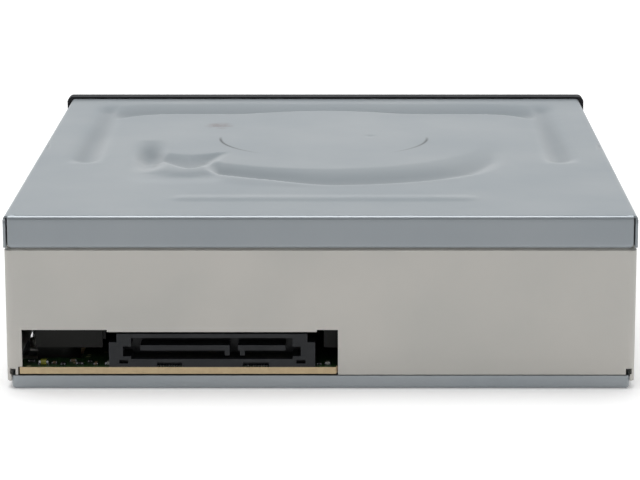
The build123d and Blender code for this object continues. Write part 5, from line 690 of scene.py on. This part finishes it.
def buildLid():
    s, g = lidShape, lidGrid
    flatX, flatY, flatZ = s["halfWidth"] - s["bend"], s["rearY"] - s["bend"], s["topZ"] - s["bend"]
    acrossX = unevenSteps(-flatX, flatX, g["across"], g["closeX"])
    alongY = unevenSteps(s["frontY"], flatY, g["along"], g["closeY"])
    blocks = [buildTop(acrossX, alongY, s)]
    turns = np.linspace(0, math.pi / 2, g["bendSteps"])
    bendZ = flatZ + s["bend"] * np.cos(turns)
    # rear flange: bend and straight drop, with its two lower corners rounded
    rearX = acrossX[np.abs(acrossX) < s["rearHalf"] - g["rearMargin"]]
    ends = s["rearHalf"] - np.array(g["cornerInsets"])
    rearX = np.unique(np.concatenate([rearX[np.abs(rearX) < ends[-1] - g["cornerMargin"]], ends, -ends]))
    cut = np.clip(np.abs(rearX) - (s["rearHalf"] - s["cornerRound"]), 0, s["cornerRound"])
    lowest = s["flangeZ"] + s["cornerRound"] - np.sqrt(s["cornerRound"] ** 2 - cut ** 2)
    fall = np.linspace(0, 1, g["dropSteps"] + 1)[1:]
    flangeY = np.concatenate([flatY + s["bend"] * np.sin(turns), np.full(g["dropSteps"], s["rearY"])])
    gridX, gridY = np.meshgrid(rearX, flangeY, indexing="ij")
    dropZ = flatZ + (lowest[:, None] - flatZ) * fall[None, :]
    gridZ = np.concatenate([np.repeat(bendZ[None, :], len(rearX), 0), dropZ], 1)
    blocks.append((np.stack([gridX, gridY, gridZ], -1), gridQuads(*gridX.shape)))
    # side flanges: the bend stops short of the rear corner, the drop below it runs to the rear
    for side in (-1, 1):
        order = slice(None, None, -1) if side > 0 else slice(None)
        sideY = np.concatenate([alongY, [flatY + s["slit"]]])
        gridY, gridX = np.meshgrid(sideY, side * (flatX + s["bend"] * np.sin(turns)), indexing="ij")
        gridZ = np.repeat(bendZ[None, :], len(sideY), 0)
        blocks.append((np.stack([gridX, gridY, gridZ], -1), gridQuads(*gridX.shape)[:, order]))
        dropY = np.concatenate([alongY, flatY + np.array(g["sideEnds"]), [s["rearY"]]])
        dropZ = np.linspace(flatZ, s["flangeZ"], g["sideDropSteps"])
        gridY, gridZ = np.meshgrid(dropY, dropZ, indexing="ij")
        gridX = np.full(gridY.shape, side * s["halfWidth"])
        blocks.append((np.stack([gridX, gridY, gridZ], -1), gridQuads(*gridX.shape)[:, order]))
    lid = makePiece("lidShell", blocks, "housing", finishes["lid_steel"][0], recalc=False)
    thickness = lid.modifiers.new("sheet", "SOLIDIFY")
    thickness.thickness = s["sheet"] * mm
    thickness.offset = -1
    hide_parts("top_cover")
    print("lid:", len(lid.data.polygons), "faces before its thickness")


buildLid()


# Lead screw

screwShape = dict(x=-32.5, z=20.4, frontY=-6.0, rearY=61.0, threadFrom=0.5, threadTo=59.0, runOut=1,
                  radius=1.2, depth=0.28, pitch=3.0, starts=2, grooveIn=(0.18, 0.34), grooveOut=(0.66, 0.82),
                  chamfer=0.2, chamferLength=0.25, rings=560, sides=28)


# Radius over length and angle: a rounded groove that climbs one pitch a turn, smooth shaft at both ends
def buildLeadScrew():
    s = screwShape
    along = np.linspace(s["frontY"], s["rearY"], s["rings"])
    angle = np.linspace(0, fullTurn, s["sides"], endpoint=False)
    y, turn = np.meshgrid(along, angle, indexing="ij")
    phase = (s["starts"] * y / s["pitch"] - turn / fullTurn) % 1
    groove = easeStep(*s["grooveIn"], phase) * (1 - easeStep(*s["grooveOut"], phase))
    threaded = easeStep(s["threadFrom"], s["threadFrom"] + s["runOut"], y)
    threaded *= 1 - easeStep(s["threadTo"] - s["runOut"], s["threadTo"], y)
    radius = s["radius"] - s["depth"] * groove * threaded
    ends = np.minimum(y - s["frontY"], s["rearY"] - y)
    radius = radius - s["chamfer"] * (1 - easeStep(0, s["chamferLength"], ends))
    points = np.stack([s["x"] + radius * np.cos(turn), y, s["z"] + radius * np.sin(turn)], -1)
    caps = []
    for row, capY in ((0, s["frontY"]), (-1, s["rearY"])):
        centre = np.broadcast_to(np.array([s["x"], capY, s["z"]]), points[row].shape)
        caps.append((lowered(np.stack([centre, points[row]])), gridQuads(2, len(angle), closeCols=True)))
    blocks = [(lowered(points), gridQuads(*y.shape, closeCols=True))] + caps
    screw = makePiece("leadScrewThread", blocks, "lead_screw", finishes["rod_steel"][0])
    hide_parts("lead_screw")
    print("lead screw:", len(screw.data.polygons), "faces")


buildLeadScrew()


# Small parts on the board beside the socket

# Rounded block: a superellipsoid of two angles, with the powers of cosine and sine below one
def roundedBlock(centre, size, squareness=0.22, rings=13, sides=24):
    v, u = np.meshgrid(np.linspace(-math.pi / 2, math.pi / 2, rings),
                       np.linspace(0, fullTurn, sides, endpoint=False), indexing="ij")
    cosV, sinV, cosU, sinU = [np.sign(value) * np.abs(value) ** squareness
                              for value in (np.cos(v), np.sin(v), np.cos(u), np.sin(u))]
    points = np.array(centre) + np.stack([cosV * cosU, cosV * sinU, sinV], -1) * np.array(size) / 2
    return points, gridQuads(rings, sides, closeCols=True)


boardTopZ = 5.2
# a part's body, metal ends and solder fillets, as shares of its width, depth and height
partShape = dict(standOff=0.03, body=0.66, endAt=0.4, endSize=(0.24, 1.04, 0.98), endRise=0.46,
                 filletAt=0.12, filletSize=(0.3, 1.2, 0.5), filletRise=0.1, filletSquareness=0.8)
# soldered feet of the socket's contacts, in its two low windows
feetShape = dict(windows=[(38.0, 32.2), (18.1, 12.0)], inset=0.5, pitch=0.63, y=84.1, rise=0.2,
                 size=(0.42, 1.3, 0.5), squareness=0.8)
# middle X and Y, width, depth, height and kind of each small part
smallParts = [
    (67.6, 80.4, 1.6, 0.8, 0.6, "resistor"), (64.6, 82.2, 2.2, 1.4, 1.15, "tantalum"),
    (62.2, 81.6, 1.2, 0.7, 0.5, "ceramic"), (60.0, 82.8, 1.0, 1.5, 0.6, "resistor"),
    (57.9, 80.0, 1.6, 0.8, 0.6, "ceramic"), (56.2, 82.4, 1.6, 0.8, 0.55, "resistor"),
    (53.9, 80.6, 1.0, 0.6, 0.5, "resistor"), (52.4, 82.6, 1.0, 1.5, 0.6, "ceramic"),
    (49.1, 82.8, 2.1, 1.3, 0.85, "filter"), (0.4, 82.8, 1.0, 0.6, 0.5, "resistor"),
    (-1.6, 82.4, 1.2, 1.2, 0.7, "filter")]
partLooks = {
    "ceramic": dict(colour=(122, 104, 80), second=(104, 88, 66)),
    "resistor": dict(colour=(40, 40, 44), second=(30, 30, 34)),
    "tantalum": dict(colour=(150, 148, 44), second=(112, 116, 40)),
    "filter": dict(colour=(176, 178, 170), second=(128, 130, 126)),
}
partFinish = dict(blotchSize=700, blotches=0.7, rough=0.45, roughSpread=0.06, grainSize=5200,
                  grainDepth=0.00001)
solderLook = dict(colour=(168, 170, 172), second=(120, 122, 126), blotchSize=900, blotches=0.7, rough=0.26,
                  roughSpread=0.08, metal=1.0, grainSize=3000, grainDepth=0.00006)


def buildSmallParts():
    s, f = partShape, feetShape
    solder = makeFinish("solder", solderLook)[0]
    terminals = []
    for kind, look in partLooks.items():
        finish = makeFinish("part_" + kind, dict(partFinish, **look))[0]
        blocks = []
        for x, y, width, depth, height, partKind in smallParts:
            if partKind != kind:
                continue
            size = np.array([width, depth, height])
            middle = (x, y, boardTopZ + height / 2 + s["standOff"])
            blocks.append(roundedBlock(middle, size * (s["body"], 1, 1)))
            for side in (-1, 1):
                endX = x + side * width * s["endAt"]
                end = (endX, y, boardTopZ + height * s["endRise"])
                terminals.append(roundedBlock(end, size * s["endSize"]))
                fillet = (endX + side * width * s["filletAt"], y, boardTopZ + height * s["filletRise"])
                terminals.append(roundedBlock(fillet, size * s["filletSize"], s["filletSquareness"]))
        makePiece("smallParts." + kind, blocks, "housing", finish)
    first = makePiece("smallParts.terminals", terminals, "housing", solder)
    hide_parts("board_passives")
    feet = [roundedBlock((x, f["y"], boardTopZ + f["rise"]), f["size"], f["squareness"])
            for leftX, rightX in f["windows"] for x in np.arange(rightX + f["inset"], leftX, f["pitch"])]
    makePiece("socketSolder", feet, "housing", solder)
    print("small parts:", len(smallParts), "and", len(feet), "soldered feet")


buildSmallParts()


# Studio

studioLook = dict(
    floorHalf=3000, floorLines=9, floorZ=-0.05, floorGrey=0.86, floorSecond=0.99, floorBlotch=3.0,
    floorRough=0.9, floorGlow=0.25, ambient=0.32, horizon=1.0, overhead=0.1,
    nearSide=0.25, climb=(0.12, 0.42), nearSpan=(-0.2, 0.3), tintSpan=(0.2, 0.5), overheadTint=(0.6, 0.88, 1.0))
# place, width and height, power, and whether it shows in reflections
lamps = {
    "backLamp": ((-0.1, -2.2, 1.1), (2.4, 0.9), 12.0, False),
    "overLamp": ((0.1, -0.15, 1.4), (1.2, 1.2), 19.0, True),
    "fillLamp": ((-0.7, 1.6, 0.7), (1.4, 0.9), 0.9, True),
}
lampTarget = (0, 0, 0.03)
# fitted to the corners of the rear wall, the lid and the front panel in the photograph
cameraFit = dict(lens=154.1, sensor=36.0, shiftX=-0.0392, place=(-0.00566, 0.7003, 0.1698), down=12.32,
                 turn=180, clip=(0.01, 50))


def buildFloor():
    look = studioLook
    span = np.linspace(-look["floorHalf"], look["floorHalf"], look["floorLines"])
    x, y = np.meshgrid(span, span, indexing="ij")
    points = np.stack([x, y, np.full(x.shape, look["floorZ"])], -1)
    mesh = bpy.data.meshes.new("studioFloor")
    mesh.from_pydata((points.reshape(-1, 3) * mm).tolist(), [], gridQuads(*x.shape).tolist())
    floor = bpy.data.objects.new("studioFloor", mesh)
    bpy.context.scene.collection.objects.link(floor)
    material = bpy.data.materials.new("studioFloor")
    material.use_nodes = True
    tree = material.node_tree
    shader = tree.nodes["Principled BSDF"]
    coordinates = tree.nodes.new("ShaderNodeTexCoord").outputs["Object"]
    grey, second = look["floorGrey"], look["floorGrey"] * look["floorSecond"]
    tone = placeGroup(tree, toneGroup, Coordinates=coordinates, Size=look["floorBlotch"],
                      Colour=(grey, grey, grey, 1), Second_Colour=(second, second, grey, 1), Amount=0.5)
    tree.links.new(tone.outputs["Colour"], shader.inputs["Base Color"])
    shader.inputs["Roughness"].default_value = look["floorRough"]
    rays = tree.nodes.new("ShaderNodeLightPath")
    mirrored = mathNode(tree, "MAXIMUM", rays.outputs["Is Glossy Ray"], rays.outputs["Is Transmission Ray"])
    seen = mathNode(tree, "MAXIMUM", rays.outputs["Is Camera Ray"], mirrored)
    shader.inputs["Emission Color"].default_value = (1, 1, 1, 1)
    glow = mathNode(tree, "MULTIPLY", seen, look["floorGlow"])
    tree.links.new(glow, shader.inputs["Emission Strength"])
    # from beneath the floor lets the view through
    beneath = tree.nodes.new("ShaderNodeNewGeometry").outputs["Backfacing"]
    tree.links.new(mathNode(tree, "SUBTRACT", 1.0, beneath), shader.inputs["Alpha"])
    mesh.materials.append(material)


# White all round at the horizon, dimmer overhead, as in a studio with a pale cove
def buildWorld():
    world = bpy.data.worlds.new("studio")
    bpy.context.scene.world = world
    world.use_nodes = True
    tree = world.node_tree
    background = tree.nodes["Background"]
    direction = tree.nodes.new("ShaderNodeTexCoord").outputs["Generated"]
    parts = separate(tree, direction)
    look = studioLook
    climb = mapRange(tree, parts["Z"], *look["climb"], look["horizon"], look["overhead"])
    near = mapRange(tree, parts["Y"], *look["nearSpan"], 1.0, look["nearSide"])
    rays = tree.nodes.new("ShaderNodeLightPath")
    seen = mathNode(tree, "MAXIMUM", rays.outputs["Is Glossy Ray"], rays.outputs["Is Transmission Ray"])
    mirrored = mathNode(tree, "MULTIPLY", mathNode(tree, "MULTIPLY", climb, near), seen)
    plain = mathNode(tree, "MULTIPLY", mathNode(tree, "SUBTRACT", 1.0, seen), look["ambient"])
    level = mathNode(tree, "MAXIMUM", mathNode(tree, "ADD", mirrored, plain), rays.outputs["Is Camera Ray"])
    tinted = mathNode(tree, "MULTIPLY", mapRange(tree, parts["Z"], *look["tintSpan"]),
                      rays.outputs["Is Glossy Ray"])
    tint = mixColour(tree, tinted, (1, 1, 1, 1), look["overheadTint"] + (1,))
    tree.links.new(tint, background.inputs["Color"])
    tree.links.new(level, background.inputs["Strength"])


# Area lamp that looks at the lamps' target
def addLamp(name, place, size, power, glossy):
    light = bpy.data.lights.new(name, "AREA")
    light.shape = "RECTANGLE"
    light.size, light.size_y = size
    light.energy = power
    lamp = bpy.data.objects.new(name, light)
    bpy.context.scene.collection.objects.link(lamp)
    lamp.location = place
    lamp.visible_glossy = glossy
    away = np.array(place) - np.array(lampTarget)
    flat = math.hypot(away[0], away[1])
    lamp.rotation_euler = (math.atan2(flat, away[2]), 0, math.atan2(away[1], away[0]) + math.pi / 2)


def buildCamera():
    camera = bpy.data.cameras.new("photoCamera")
    camera.lens, camera.sensor_width = cameraFit["lens"], cameraFit["sensor"]
    camera.shift_x = cameraFit["shiftX"]
    camera.clip_start, camera.clip_end = cameraFit["clip"]
    seat = bpy.data.objects.new("photoCamera", camera)
    bpy.context.scene.collection.objects.link(seat)
    seat.location = cameraFit["place"]
    seat.rotation_euler = (math.radians(90 - cameraFit["down"]), 0, math.radians(cameraFit["turn"]))
    bpy.context.scene.camera = seat


buildFloor()
buildWorld()
for lampName, lampRow in lamps.items():
    addLamp(lampName, *lampRow)
buildCamera()
bpy.context.scene.view_settings.view_transform = "Standard"
print("studio ready")
